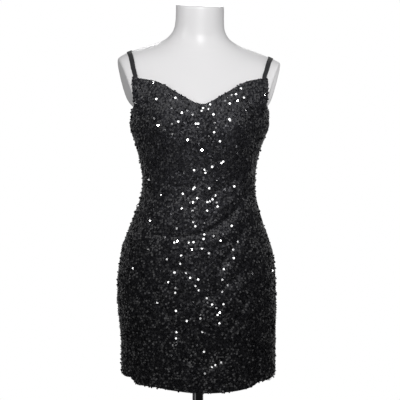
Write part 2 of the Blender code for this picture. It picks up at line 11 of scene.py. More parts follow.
import bpy
import numpy as np
from bpy.props import FloatProperty, FloatVectorProperty, IntProperty, PointerProperty
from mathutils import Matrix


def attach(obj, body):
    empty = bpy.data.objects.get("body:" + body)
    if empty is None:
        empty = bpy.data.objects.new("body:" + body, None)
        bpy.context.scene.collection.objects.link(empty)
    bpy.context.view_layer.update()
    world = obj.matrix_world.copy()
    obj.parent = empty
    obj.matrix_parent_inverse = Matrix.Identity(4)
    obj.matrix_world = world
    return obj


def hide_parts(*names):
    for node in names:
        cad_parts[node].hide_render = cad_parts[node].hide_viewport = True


bl_info = {
    "name": "Sequinned cocktail dress",
    "version": (1, 0, 0),
    "blender": (4, 5, 0),
    "location": "3D View > Sidebar > Dress",
    "description": "Dresses the packed solids of a cocktail dress on a dress form",
    "category": "Object",
}

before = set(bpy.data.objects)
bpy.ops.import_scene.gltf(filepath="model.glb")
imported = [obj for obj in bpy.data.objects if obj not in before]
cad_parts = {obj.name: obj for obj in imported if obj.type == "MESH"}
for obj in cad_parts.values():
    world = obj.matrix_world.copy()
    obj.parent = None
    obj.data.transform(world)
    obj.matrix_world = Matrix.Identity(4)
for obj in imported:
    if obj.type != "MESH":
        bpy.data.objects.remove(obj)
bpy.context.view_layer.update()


def table(columns, *rows):
    """Rows of values that are read by the names of their columns."""
    row = namedtuple("Row", columns)
    return [row(*values) for values in rows]


# ---- the figure, as the solids have it ----
FORM_OFFSET = np.array([0.0050, 0.0, 0.0])
FORM_BOTTOM = 0.800
NECK_TOP = 1.528
NECK_CUT_SLOPE = 0.10
NECK_CUT_STARTS = 1.460
SHOULDER_TILT = 0.045
TILT_STARTS = 1.365
TILT_FULL = 1.425
ARMPIT_HEIGHT = 1.297
ARM_CUT_LEAN = 0.270
ARM_CUTS = table("side half_span toe_in", (-1, 0.1518, 0.210), (1, 0.1500, 0.150))
BUST_HALF_SPAN = 0.076
BUST_HEIGHT = 1.254
BUST_DEPTH = 0.031
BUST_WIDTH = 0.046
BUST_RISE = 0.062
BUST_FALL = 0.044
DRESS_BUST_FALL = 0.068
DRESS_BRIDGE = 0.35
BUST_SIDE_POWER = 0.25
POLE_RADIUS = 0.0125
POLE_FIT = 0.00035
SOCKET_DEPTH = 0.060

# Level sections. front and back are distances from Y = 0, middle is the Y where the section is
# widest, roundness 2 is an ellipse and sway moves the section sideways.
FIGURE = table(
    "height half_width front back middle roundness sway",
    (0.66, 0.1683, 0.106, 0.112, 0.004, 2.15, -0.004),
    (0.73, 0.1688, 0.107, 0.114, 0.004, 2.15, -0.004),
    (0.766, 0.1688, 0.108, 0.116, 0.005, 2.18, -0.004),
    (0.8, 0.1703, 0.109, 0.119, 0.006, 2.2, -0.005),
    (0.836, 0.1728, 0.11, 0.124, 0.007, 2.22, -0.0065),
    (0.87, 0.174, 0.111, 0.128, 0.008, 2.25, -0.008),
    (0.905, 0.1736, 0.111, 0.13, 0.008, 2.25, -0.008),
    (0.933, 0.1714, 0.11, 0.129, 0.008, 2.25, -0.0077),
    (0.96, 0.1678, 0.109, 0.125, 0.008, 2.22, -0.007),
    (0.988, 0.1616, 0.107, 0.118, 0.008, 2.2, -0.0073),
    (1.016, 0.1516, 0.104, 0.109, 0.006, 2.18, -0.0073),
    (1.043, 0.1404, 0.1, 0.1, 0.003, 2.15, -0.0065),
    (1.07, 0.1306, 0.096, 0.091, 0.0, 2.15, -0.0055),
    (1.098, 0.1212, 0.092, 0.084, -0.003, 2.12, -0.0042),
    (1.125, 0.1172, 0.089, 0.08, -0.004, 2.12, -0.003),
    (1.139, 0.117, 0.089, 0.08, -0.004, 2.12, -0.0028),
    (1.166, 0.1198, 0.091, 0.082, -0.003, 2.15, -0.003),
    (1.193, 0.1261, 0.094, 0.086, 0.0, 2.18, -0.0033),
    (1.22, 0.1338, 0.098, 0.091, 0.002, 2.22, -0.0025),
    (1.245, 0.1433, 0.1, 0.095, 0.003, 2.33, -0.002),
    (1.262, 0.1482, 0.101, 0.097, 0.004, 2.46, -0.001),
    (1.283, 0.1462, 0.1, 0.099, 0.006, 2.78, 0.0),
    (1.297, 0.1455, 0.098, 0.1, 0.007, 2.95, 0.0005),
    (1.303, 0.1515, 0.097, 0.1, 0.007, 2.88, 0.0006),
    (1.31, 0.162, 0.095, 0.1, 0.008, 2.72, 0.0008),
    (1.326, 0.184, 0.091, 0.099, 0.009, 2.54, 0.001),
    (1.346, 0.1985, 0.085, 0.097, 0.01, 2.42, 0.0008),
    (1.366, 0.205, 0.078, 0.094, 0.011, 2.3, 0.0004),
    (1.386, 0.201, 0.07, 0.09, 0.013, 2.15, 0.0),
    (1.4, 0.1905, 0.064, 0.086, 0.014, 2.02, 0.0),
    (1.409, 0.1785, 0.06, 0.083, 0.015, 1.92, 0.0),
    (1.416, 0.165, 0.057, 0.081, 0.016, 1.82, 0.0),
    (1.424, 0.145, 0.054, 0.078, 0.016, 1.72, 0.0),
    (1.432, 0.1215, 0.051, 0.075, 0.015, 1.68, -0.0005),
    (1.441, 0.095, 0.049, 0.072, 0.014, 1.72, -0.001),
    (1.45, 0.0765, 0.048, 0.069, 0.012, 1.82, -0.0015),
    (1.458, 0.0668, 0.048, 0.066, 0.01, 1.92, -0.002),
    (1.467, 0.06, 0.049, 0.062, 0.007, 2.0, -0.0015),
    (1.481, 0.055, 0.051, 0.056, 0.002, 2.05, -0.001),
    (1.5, 0.0535, 0.054, 0.05, -0.003, 2.08, -0.0003),
    (1.53, 0.053, 0.058, 0.045, -0.007, 2.08, 0.0),
)

# How far the sequins' faces stand off the figure.
EASE = table(
    "height off",
    (0.66, 0.0065), (0.76, 0.0062), (0.87, 0.005), (0.96, 0.005), (1.043, 0.0062),
    (1.125, 0.008), (1.193, 0.0064), (1.262, 0.0055), (1.283, 0.0058), (1.297, 0.0064),
    (1.34, 0.0066), (1.37, 0.007), (1.45, 0.007),
)

# The neckline by distance from the middle of its V.
NECKLINE_MIDDLE = 0.0040
NECKLINE = table(
    "across height",
    (0.0, 1.311), (0.007, 1.3118), (0.0193, 1.317), (0.045, 1.3312), (0.0834, 1.353),
    (0.097, 1.359), (0.1102, 1.3622), (0.136, 1.3665), (0.148, 1.368),
)

# The armholes: how far round its section the front reaches, as a share of the half width.
ARMHOLE = table(
    "height share",
    (1.2965, 1.0), (1.301, 0.955), (1.307, 0.885), (1.3144, 0.823), (1.3277, 0.764),
    (1.341, 0.727), (1.3545, 0.705), (1.368, 0.69),
)

# The back's top edge by the share of the section's half width.
BACK_TOP = table(
    "share height",
    (0.0, 1.325), (0.35, 1.329), (0.56, 1.335), (0.64, 1.329), (0.76, 1.314),
    (0.9, 1.301), (1.0, 1.2965),
)

# The hem's height by distance from the middle, with the step that the side folds make in it.
HEM_FRONT = table(
    "across height",
    (-0.185, 0.6958), (-0.168, 0.6968), (-0.1566, 0.6988), (-0.142, 0.6858), (-0.129, 0.6873),
    (-0.1015, 0.6883), (-0.0738, 0.6842), (-0.0461, 0.6815), (-0.0185, 0.6789),
    (0.0231, 0.6778), (0.0784, 0.6798), (0.1061, 0.6828), (0.1199, 0.6858), (0.1337, 0.6923),
    (0.16, 0.6933), (0.185, 0.6933),
)
HEM_BACK = table(
    "across height",
    (-0.185, 0.6958), (-0.12, 0.6893), (0.0, 0.6838), (0.11, 0.6878), (0.185, 0.6933),
)

# A strap's middle by its angle over the shoulder, from front to back. on_form is 0 where it
# lies behind the cloth and 1 where it rests on the form.
STRAP_PIVOT_Y = 0.012
STRAP_PIVOT_Z = 1.352
STRAP_FRONT_END = -1.570
STRAP_BACK_END = 1.985
STRAP_BEHIND_CLOTH = 0.0029
STRAP_REST = 0.0010
STRAP_ROUTE = table(
    "angle across on_form",
    (-1.7, 0.136, 0.0), (-1.41, 0.1405, 0.0), (-1.25, 0.1428, 0.0), (-1.05, 0.1455, 1.0),
    (-0.7, 0.1503, 1.0), (-0.35, 0.1552, 1.0), (-0.05, 0.1583, 1.0), (0.6, 0.149, 1.0),
    (1.3, 0.119, 1.0), (1.65, 0.108, 0.0), (2.2, 0.103, 0.0),
)

# Soft folds. A negative depth is a trough, and a positive one a ridge. The first rows are the
# main ones, which the solids have too, and the rest are the slighter ones between them.
FOLDS_REACH_HEM_BELOW = 0.72
FOLD_FADE_OUTSIDE = 0.15
FOLD_FADE_INSIDE = 0.35
FOLD_FADE_AT_SIDE = 0.35
FOLD_ROOT = 0.35
FRONT_FOLDS = table(
    "from_x from_z to_x to_z sag width depth",
    (0.098, 1.165, 0.006, 1.102, 0.004, 0.007, -0.0024),
    (0.104, 1.112, -0.098, 1.026, 0.038, 0.0072, -0.0034),
    (0.092, 1.066, 0.022, 1.006, 0.004, 0.0105, 0.0031),
    (0.1, 1.044, 0.03, 0.948, 0.008, 0.0068, -0.0027),
    (0.11, 0.972, -0.02, 0.88, 0.018, 0.0068, -0.0026),
    (0.116, 0.9, 0.052, 0.8, 0.004, 0.0066, -0.0026),
    (-0.108, 0.912, -0.024, 0.776, 0.006, 0.0066, -0.0026),
    (-0.104, 1.2, -0.036, 1.166, 0.002, 0.0085, -0.0016),
    (0.127, 0.83, 0.128, 0.69, 0.0, 0.013, -0.0044),
    (-0.151, 0.8, -0.149, 0.69, 0.0, 0.011, -0.0046),
    (-0.11, 0.79, -0.104, 0.686, 0.0, 0.015, 0.003),
    (0.098, 1.128, 0.03, 1.074, 0.004, 0.009, 0.0017),
    (0.092, 0.998, 0.052, 0.936, 0.002, 0.008, 0.0017),
    (0.104, 0.936, 0.04, 0.85, 0.004, 0.009, 0.002),
    (0.088, 0.8, -0.06, 0.772, 0.05, 0.008, -0.0036),
    (-0.092, 0.974, -0.004, 0.962, 0.018, 0.008, -0.0021),
    (-0.05, 1.096, 0.004, 1.09, 0.006, 0.007, -0.0017),
    (-0.104, 1.076, -0.044, 1.038, 0.004, 0.009, 0.0015),
    (-0.1, 0.926, -0.034, 0.862, 0.004, 0.009, 0.0021),
    (-0.116, 0.86, -0.07, 0.782, 0.002, 0.008, -0.0017),
    (-0.1, 1.124, -0.04, 1.108, 0.003, 0.007, -0.0013),
    (-0.06, 1.316, -0.084, 1.286, 0.0, 0.007, 0.0011),
    (0.112, 1.33, 0.098, 1.282, 0.0, 0.008, -0.0013),
    (-0.118, 1.328, -0.106, 1.276, 0.0, 0.008, -0.0011),
)
BACK_FOLDS = table(
    "from_x from_z to_x to_z sag width depth",
    (-0.1, 1.14, 0.01, 1.11, 0.006, 0.009, -0.0032),
    (0.098, 1.112, -0.03, 1.062, 0.014, 0.009, -0.0032),
    (-0.092, 1.086, -0.016, 1.05, 0.006, 0.0095, 0.0024),
    (-0.118, 1.03, -0.046, 0.955, 0.006, 0.0085, -0.0022),
    (0.122, 1.026, 0.05, 0.946, 0.006, 0.0085, -0.0022),
    (0.07, 0.83, 0.074, 0.686, 0.0, 0.015, -0.0042),
    (-0.096, 0.815, -0.1, 0.688, 0.0, 0.014, -0.004),
    (-0.014, 0.8, -0.012, 0.684, 0.0, 0.016, 0.0026),
    (0.09, 1.134, 0.034, 1.128, 0.002, 0.007, 0.001),
    (-0.088, 1.164, -0.03, 1.152, 0.003, 0.007, -0.001),
    (0.084, 1.196, 0.022, 1.182, 0.002, 0.008, -0.0009),
    (0.1, 1.066, 0.04, 1.036, 0.004, 0.008, 0.0012),
    (-0.096, 0.93, 0.07, 0.912, 0.02, 0.009, -0.0014),
    (0.104, 0.89, 0.02, 0.838, 0.008, 0.009, -0.0012),
    (-0.07, 1.29, -0.052, 1.25, 0.0, 0.009, -0.0008),
    (0.078, 1.284, 0.062, 1.244, 0.0, 0.009, 0.0008),
)

# ---- how finely the pieces are cut ----
QUARTER_TURN = math.pi / 2
# NEAR_ZERO keeps divisions off zero, SLOPE_STEP is what slopes are measured over, in radians or
# metres, and the ROUNDS are how often a height is read again at the place that it leads to.
NEAR_ZERO = 1e-12
SLOPE_STEP = 1e-4
NECKLINE_ROUNDS = 12
HEM_ROUNDS = 4
TOP_ROUNDS = 6
CLOTH_COLUMNS = 120
SEAM_ROWS = 130
ARMHOLE_ROWS = 26
ARMHOLE_CROWDING = 1.25
ARMPIT_LEVEL_DIP = 0.6
DRAW_IN_STARTS = 1.180
FORM_COLUMNS = 176
FORM_ROWS = 170
LEVEL_SAMPLES = 4000
RIM_RINGS = 6
CAP_RINGS = 12
STRAP_ROWS = 220
HALVINGS = 40
EDGE_STEPS = 900
EDGE_SIDES = 10
FLOOR_COLUMNS = 96
FLOOR_RINGS = 5
# Points nearer than this are one, where a closed piece comes round to itself.
WELD_DISTANCE = 0.00001


def read(table, column, at):
    """A table's column as a curve: cubic between rows, with slopes that never overshoot them."""
    knots = np.array([row[0] for row in table])
    values = np.array([getattr(row, column) for row in table])
    at = np.clip(np.asarray(at, float), knots[0], knots[-1])
    spans = np.diff(knots)
    rises = np.diff(values) / spans
    before, after = rises[:-1], rises[1:]
    turning = before * after <= 0
    inner = np.where(turning, 0.0, 2 * before * after / np.where(turning, 1.0, before + after))
    slopes = np.concatenate([rises[:1], inner, rises[-1:]])
    k = np.clip(np.searchsorted(knots, at, side="right") - 1, 0, len(spans) - 1)
    span, t = spans[k], (at - knots[k]) / spans[k]
    start = values[k] * (1 + 2 * t) * (1 - t) ** 2 + slopes[k] * span * t * (1 - t) ** 2
    end = values[k + 1] * t**2 * (3 - 2 * t) - slopes[k + 1] * span * t**2 * (1 - t)
    return start + end


def smoothstep(low, high, at):
    """0 below low, 1 above high, and 3t^2 - 2t^3 between them."""
    t = np.clip((at - low) / (high - low), 0.0, 1.0)
    return t * t * (3 - 2 * t)


def unit(vectors):
    """The vectors at length 1."""
    return vectors / np.maximum(np.linalg.norm(vectors, axis=-1, keepdims=True), NEAR_ZERO)


def tilted(points):
    """Lifts the wearer's right shoulder: z falls with x, by a share that grows up the chest."""
    share = smoothstep(TILT_STARTS, TILT_FULL, points[..., 2])
    lift = -SHOULDER_TILT * points[..., 0] * share
    return points + np.stack([np.zeros_like(lift), np.zeros_like(lift), lift], axis=-1)


def bust(x, z, bridge, fall):
    """A bell curve in x and z on each side. bridge slows its fall towards the middle."""
    away = (np.abs(x) - BUST_HALF_SPAN) / BUST_WIDTH
    across = np.where(away < 0, away * (1 - bridge), away)
    up = (z - BUST_HEIGHT) / np.where(z > BUST_HEIGHT, BUST_RISE, fall)
    return BUST_DEPTH * np.exp(-(across**2) - up**2)


def section_at(height, ease):
    """A section's roundness, middle, half width, and depths before and behind its middle."""
    middle = read(FIGURE, "middle", height)
    return (
        read(FIGURE, "roundness", height),
        middle,
        read(FIGURE, "half_width", height) + ease,
        read(FIGURE, "front", height) + middle + ease,
        read(FIGURE, "back", height) - middle + ease,
    )


def section_points(turn, height, ease=0.0, bridge=0.0, fall=BUST_FALL):
    """Points of the figure: |x/width|^n + |y/depth|^n = 1, with x = width sin(turn).

    turn is 0 in front and a quarter turn at +X. width and depth grow by the ease, and the bust
    is added to the front half, where it fades out at the side by a low power of |y/depth|.
    """
    turn, height = np.broadcast_arrays(np.asarray(turn, float), np.asarray(height, float))
    roundness, middle, half_width, front, back = section_at(height, ease)
    sine, cosine = np.sin(turn), np.cos(turn)
    left_over = np.clip(1 - np.abs(sine) ** roundness, 0.0, 1.0)
    x = read(FIGURE, "sway", height) + half_width * sine
    depth = np.where(cosine > 0, front, back)
    y = middle - depth * np.sign(cosine) * left_over ** (1 / roundness)
    y = y - bust(x, height, bridge, fall) * np.where(cosine > 0, left_over, 0.0) ** BUST_SIDE_POWER
    return np.stack([x, y, height], axis=-1)


def fold_depth(folds, x, z):
    """The folds' in and out: soft grooves that fade at both ends and sag in between.

    A groove's middle line is a parabola, lowest by its sag halfway, and its section is a bell.
    """
    total = np.zeros_like(x)
    for fold in folds:
        run = np.array([fold.to_x - fold.from_x, fold.to_z - fold.from_z])
        length = np.hypot(*run)
        along = ((x - fold.from_x) * run[0] + (z - fold.from_z) * run[1]) / length**2
        level = z + 4 * fold.sag * along * (1 - along) - fold.from_z
        aside = ((x - fold.from_x) * run[1] - level * run[0]) / length
        fade = smoothstep(-FOLD_FADE_OUTSIDE, FOLD_FADE_INSIDE, along)
        if fold.to_z > FOLDS_REACH_HEM_BELOW:
            fade = fade * smoothstep(-FOLD_FADE_OUTSIDE, FOLD_FADE_INSIDE, 1 - along)
        total = total + fold.depth * fade * np.exp(-((aside / fold.width) ** 2))
    return total


def cloth_points(turn, height, folded=True):
    """The cloth's outer face: the figure with ease and a bridged bust, moved out by its folds.

    The folds fade out at the side seams. A fold moves a point straight away from one inside the
    figure, at the same height, on the section's middle and at FOLD_ROOT of the point's x.
    """
    turn, height = np.broadcast_arrays(np.asarray(turn, float), np.asarray(height, float))
    ease = read(EASE, "off", height)
    points = section_points(turn, height, ease, DRESS_BRIDGE, DRESS_BUST_FALL)
    if not folded:
        return points
    x, z = points[..., 0], points[..., 2]
    in_front = np.cos(turn) > 0
    depth = np.where(in_front, fold_depth(FRONT_FOLDS, x, z), fold_depth(BACK_FOLDS, x, z))
    roundness = read(FIGURE, "roundness", height)
    off_side = np.sqrt(np.clip(1 - np.abs(np.sin(turn)) ** roundness, 0.0, 1.0))
    depth = depth * smoothstep(0.0, FOLD_FADE_AT_SIDE, off_side)
    away = unit(points - np.stack([FOLD_ROOT * x, read(FIGURE, "middle", z), z], axis=-1))
    return points + depth[..., None] * away


def cloth_normals(turn, height, folded=True):
    """Unit vectors square to the cloth: the cross product of its slopes in turn and height."""
    ends = [cloth_points(turn + step, height, folded) for step in (SLOPE_STEP, -SLOPE_STEP)]
    tops = [cloth_points(turn, height + step, folded) for step in (SLOPE_STEP, -SLOPE_STEP)]
    return unit(np.cross(ends[0] - ends[1], tops[0] - tops[1]))


def armhole_turn(height):
    """How far round the front reaches at a height: a quarter turn up to the armpit."""
    share = np.where(height > ARMHOLE[0].height, read(ARMHOLE, "share", height), 1.0)
    return np.arcsin(share)


def neckline_height(turn):
    """The neckline's height, found by reading it again at the place that it leads to."""
    height = np.full_like(turn, NECKLINE[-1].height)
    for _ in range(NECKLINE_ROUNDS):
        across = np.abs(cloth_points(turn, height)[..., 0] - NECKLINE_MIDDLE)
        height = read(NECKLINE, "height", across)
    return height


def hem_height(table, turn):
    """The hem's height, found by reading it again at the place that it leads to."""
    height = np.full_like(turn, table[0].height)
    for _ in range(HEM_ROUNDS):
        height = read(table, "height", cloth_points(turn, height)[..., 0])
    return height


def front_top_line(count):
    """Turns and heights along the front's top edge, from armpit to armpit over the neckline."""
    rise = np.linspace(ARMHOLE[0].height, NECKLINE[-1].height, count // 4)
    side = armhole_turn(rise)
    neck = np.linspace(side[-1], -side[-1], count // 2)[1:-1]
    turn = np.concatenate([side, neck, -side[::-1]])
    return turn, np.concatenate([rise, neckline_height(neck), rise[::-1]])


def back_top_height(turn):
    """The back's top edge, which depends on the share of the width alone."""
    return read(BACK_TOP, "height", np.abs(np.sin(turn)))


# ---- meshes ----


def grid_faces(rows, columns, closed=False):
    """Four-sided faces over a grid of points numbered row by row, joined round when closed."""
    number = np.arange(rows * columns).reshape(rows, columns)
    if closed:
        number = np.concatenate([number, number[:, :1]], axis=1)
    corners = [number[:-1, :-1], number[:-1, 1:], number[1:, 1:], number[1:, :-1]]
    return np.stack(corners, axis=-1).reshape(-1, 4)


def made_piece(name, points, faces, finish, uv=None, smooth=True, attributes=()):
    """An object from arrays of points and faces, all faces with as many corners."""
    points, sides = points.reshape(-1, 3), faces.shape[1]
    mesh = bpy.data.meshes.new(name)
    mesh.vertices.add(len(points))
    mesh.vertices.foreach_set("co", points.astype(np.float32).ravel())
    mesh.loops.add(faces.size)
    mesh.loops.foreach_set("vertex_index", faces.astype(np.int32).ravel())
    mesh.polygons.add(len(faces))
    mesh.polygons.foreach_set("loop_start", np.arange(0, faces.size, sides, dtype=np.int32))
    mesh.polygons.foreach_set("use_smooth", np.full(len(faces), smooth))
    mesh.update(calc_edges=True)
    for map_name, values in (uv or {}).items():
        layer = mesh.uv_layers.new(name=map_name)
        layer.uv.foreach_set("vector", values[faces.ravel()].astype(np.float32).ravel())
    for label, values in attributes:
        data = mesh.attributes.new(label, "FLOAT_VECTOR", "POINT")
        data.data.foreach_set("vector", values.astype(np.float32).ravel())
    mesh.materials.append(finish)
    made = bpy.data.objects.new(name, mesh)
    bpy.context.scene.collection.objects.link(made)
    return made


def with_wall(piece, thickness):
    """Gives an open sheet its wall, inwards from its outer face."""
    solidify = piece.modifiers.new("wall", "SOLIDIFY")
    solidify.thickness = thickness
    solidify.offset = -1.0
    solidify.use_even_offset = True
    solidify.use_quality_normals = True
    return piece


def lengths_along(points, axis):
    """The running length along one axis of a grid of points, from 0."""
    steps = np.linalg.norm(np.diff(points, axis=axis), axis=-1)
    start = np.zeros_like(np.take(steps, [0], axis=axis))
    return np.concatenate([start, np.cumsum(steps, axis=axis)], axis=axis)


def carried(piece, slot_name, *nodes):
    """Lets a piece ride with the frame and hides the solids it stands for."""
    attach(piece, "root")
    if nodes:
        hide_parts(*nodes)
    return piece


# ---- finishes ----

# Real sizes in metres. A wave texture's bands are WAVE_SPACING apart at scale 1.
WAVE_SPACING = math.pi / 10
WALE_SPACING = 0.001
COURSE_SPACING = 0.0014
WEFT_SPACING = 0.0012
FIBRE_WIDTH = 0.0006
CLOUD_WIDTH = 0.12
PEEL_WIDTH = 0.003
WIPE_WIDTH = 0.008
# In a sequin's radii: its needle hole is 0.94 mm across, and a 0.28 mm stitch holds it.
HOLE_RADIUS = 0.2
STITCH_HALF_WIDTH = 0.06


def from_hex(code):
    """A linear colour from an sRGB hex value."""
    shares = np.array([int(code[i : i + 2], 16) / 255 for i in (0, 2, 4)])
    linear = np.where(shares <= 0.04045, shares / 12.92, ((shares + 0.055) / 1.055) ** 2.4)
    return tuple(float(share) for share in linear)


def set_inputs(node, inputs):
    """Sets a node's inputs, or links them to a socket or to another node's first output."""
    for name, value in inputs.items():
        if isinstance(value, bpy.types.Node):
            value = value.outputs[0]
        if isinstance(value, bpy.types.NodeSocket):
            node.id_data.links.new(value, node.inputs[name])
        else:
            node.inputs[name].default_value = value


def add_node(tree, kind, inputs=None, stops=(), **settings):
    """Adds a node with its settings, a colour ramp's stops, and its inputs set or linked."""
    made = tree.nodes.new(f"ShaderNode{kind}")
    for name, value in settings.items():
        setattr(made, name, value)
    for number, (position, colour) in enumerate(stops):
        ramp = made.color_ramp.elements
        stop = ramp[number] if number < 2 else ramp.new(position)
        stop.position, stop.color = position, (*colour, 1.0)
    set_inputs(made, inputs or {})
    return made


def two_tones(colour, low, high):
    """A colour ramp's stops: the colour times low at 0, and times high at 1."""
    return [(0.0, low * np.array(colour)), (1.0, high * np.array(colour))]


def new_finish(name, **sockets):
    """A material and its shader, with the sockets that are the same all over it."""
    finish = bpy.data.materials.new(name)
    finish.use_nodes = True
    shader = finish.node_tree.nodes["Principled BSDF"]
    set_inputs(shader, {socket.replace("_", " "): value for socket, value in sockets.items()})
    return finish, finish.node_tree, shader


def sequin_film(name, colour, glaze):
    """Black polyester film, punched and pressed, each disc a little duller than the next.

    The film gives a soft sheen over the folds, and its glaze, from 0 to 1, is the clear sharp
    face that flashes where it faces a lamp. The disc attribute holds the place in the disc, 1
    at its rim, and the disc's own chance.
    """
    finish, tree, shader = new_finish(
        name,
        IOR=1.35,
        Specular_Tint=(0.90, 0.90, 1.0, 1.0),
        Coat_Weight=glaze,
        Coat_Roughness=0.08,
        Coat_IOR=2.0,
    )
    disc = add_node(tree, "Attribute", attribute_name="disc").outputs["Vector"]
    along, aside, chance = add_node(tree, "SeparateXYZ", {0: disc}).outputs
    flat = add_node(tree, "CombineXYZ", {0: along, 1: aside})
    radius = add_node(tree, "VectorMath", {0: flat}, operation="LENGTH").outputs["Value"]
    hole = add_node(tree, "Math", {0: radius, 1: HOLE_RADIUS}, operation="LESS_THAN")
    off = add_node(tree, "Math", {0: aside}, operation="ABSOLUTE")
    narrow = add_node(tree, "Math", {0: off, 1: STITCH_HALF_WIDTH}, operation="LESS_THAN")
    ahead = add_node(tree, "Math", {0: along, 1: 0.0}, operation="GREATER_THAN")
    stitch = add_node(tree, "Math", {0: narrow, 1: ahead}, operation="MULTIPLY")
    dull = add_node(tree, "Math", {0: hole, 1: stitch}, operation="MAXIMUM")
    gloss = add_node(tree, "MapRange", {"Value": chance, "To Min": 0.36, "To Max": 0.52})
    rough = add_node(tree, "Math", {0: gloss, 1: dull}, operation="MAXIMUM")
    shade = add_node(tree, "ValToRGB", {0: chance}, two_tones(colour, 0.55, 1.5))
    set_inputs(shader, {"Base Color": shade, "Roughness": rough})
    return finish


def knit_jersey(colour):
    """Black stretch jersey: matt, with wales 1 mm apart and a slight bloom of fibre."""
    finish, tree, shader = new_finish(
        "knit_stretch_jersey", Roughness=0.85, Sheen_Weight=0.05, Sheen_Roughness=0.4
    )
    place = add_node(tree, "UVMap", uv_map="cloth")
    wale = {"Vector": place, "Scale": WAVE_SPACING / WALE_SPACING, "Distortion": 1.5}
    course = {"Vector": place, "Scale": WAVE_SPACING / COURSE_SPACING, "Distortion": 2.0}
    wales = add_node(tree, "TexWave", wale, bands_direction="X").outputs["Fac"]
    courses = add_node(tree, "TexWave", course, bands_direction="Y").outputs["Fac"]
    knit = add_node(tree, "Math", {0: wales, 1: courses}, operation="MULTIPLY")
    shade = add_node(tree, "ValToRGB", {0: knit}, two_tones(colour, 0.6, 1.3))
    bump = add_node(tree, "Bump", {"Distance": 0.00025, "Height": knit})
    set_inputs(shader, {"Base Color": shade, "Normal": bump})
    return finish


def woven_elastic(colour):
    """Dark grey covered elastic: matt, ribbed along its length, its weft 1.2 mm apart."""
    finish, tree, shader = new_finish(
        "woven_covered_elastic", Roughness=0.75, IOR=1.35, Sheen_Weight=0.04, Sheen_Roughness=0.5
    )
    place = add_node(tree, "UVMap", uv_map="cloth")
    band = {"Vector": place, "Scale": WAVE_SPACING / WEFT_SPACING, "Distortion": 0.6}
    weft = add_node(tree, "TexWave", band, bands_direction="Y").outputs["Fac"]
    fuzz = add_node(tree, "TexNoise", {"Vector": place, "Scale": 1 / FIBRE_WIDTH})
    height = add_node(tree, "Math", {0: fuzz, 1: 0.5, 2: weft}, operation="MULTIPLY_ADD")
    shade = add_node(tree, "ValToRGB", {0: height}, two_tones(colour, 0.7, 1.25))
    bump = add_node(tree, "Bump", {"Distance": 0.00015, "Height": height})
    set_inputs(shader, {"Base Color": shade, "Normal": bump})
    return finish


def white_lacquer(colour):
    """White lacquer on moulded glass fibre: satin gloss with a faint orange peel and clouding."""
    finish, tree, shader = new_finish("white_lacquered_glass_fibre", IOR=1.5)
    place = add_node(tree, "TexCoord").outputs["Object"]
    cloud = add_node(tree, "TexNoise", {"Vector": place, "Scale": 1 / CLOUD_WIDTH, "Detail": 3.0})
    peel = add_node(tree, "TexNoise", {"Vector": place, "Scale": 1 / PEEL_WIDTH, "Detail": 2.0})
    shade = add_node(tree, "ValToRGB", {0: cloud}, two_tones(colour, 0.975, 1.0))
    gloss = add_node(tree, "MapRange", {"Value": cloud, "To Min": 0.30, "To Max": 0.42})
    bump = add_node(tree, "Bump", {"Distance": 0.00002, "Height": peel})
    set_inputs(shader, {"Base Color": shade, "Roughness": gloss, "Normal": bump})
    return finish


def bright_chrome(colour):
    """Chromium plate on polished steel: a mirror with faint wiping marks of a few millimetres."""
    finish, tree, shader = new_finish("bright_chromium_plate", Metallic=1.0)
    place = add_node(tree, "TexCoord").outputs["Object"]
    marks = add_node(tree, "TexNoise", {"Vector": place, "Scale": 1 / WIPE_WIDTH, "Detail": 5.0})
    gloss = add_node(tree, "MapRange", {"Value": marks, "To Min": 0.05, "To Max": 0.13})
    shade = add_node(tree, "ValToRGB", {0: marks}, two_tones(colour, 0.9, 1.0))
    set_inputs(shader, {"Base Color": shade, "Roughness": gloss})
    return finish


# ---- sizes and colours ----


def length(name, description, default):
    """A property that holds a length in metres."""
    return FloatProperty(name=name, description=description, default=default, unit="LENGTH")


def angle(name, description, degrees):
    """A property that holds an angle, given in degrees."""
    turn = math.radians(degrees)
    return FloatProperty(name=name, description=description, default=turn, subtype="ANGLE")


def power(name, description, default):
    """A property that holds a lamp's power in watts."""
    return FloatProperty(name=name, description=description, default=default, unit="POWER")


def colour(name, description, code):
    """A property that holds a colour, given as an sRGB hex value."""
    shade = from_hex(code)
    return FloatVectorProperty(name=name, description=description, default=shade, subtype="COLOR")


class DressSizes(bpy.types.PropertyGroup):
    """The sizes of the cloth, its sequins and its straps."""

    sequin_width: length("Sequin width", "Across a sequin", 0.0047)
    under_spacing: length("Spacing below", "Along a row of the lower layer of sequins", 0.00268)
    over_spacing: length("Spacing above", "Along a row of the upper layer of sequins", 0.0052)
    sequin_tilt: angle("Sequin tilt", "How far most sequins lean away from the cloth", 11)
    patch_tilt: angle("Patch tilt", "How far neighbouring sequins lean together", 5)
    patch_width: length("Patch width", "Across a patch of sequins that lean together", 0.013)
    layer_depth: length("Layer depth", "From the jersey to the top of the lower layer", 0.0012)
    ground_thickness: length("Jersey thickness", "Of the ground under the sequins", 0.0009)
    edge_width: length("Rolled edge", "Across the rolled edges of the top and the hem", 0.0019)
    strap_width: length("Strap width", "Across an elastic strap", 0.0100)
    strap_thickness: length("Strap thickness", "Of the elastic", 0.0012)
    strap_ribs: IntProperty(name="Strap ribs", description="Side by side on the elastic", default=8)


class FormSizes(bpy.types.PropertyGroup):
    """The sizes of the dress form's edges."""

    edge_rounding: length("Edge rounding", "Of the flat cuts at the arms", 0.007)
    rim_rounding: length("Rim rounding", "Of the flat cuts at the neck and the thighs", 0.0035)


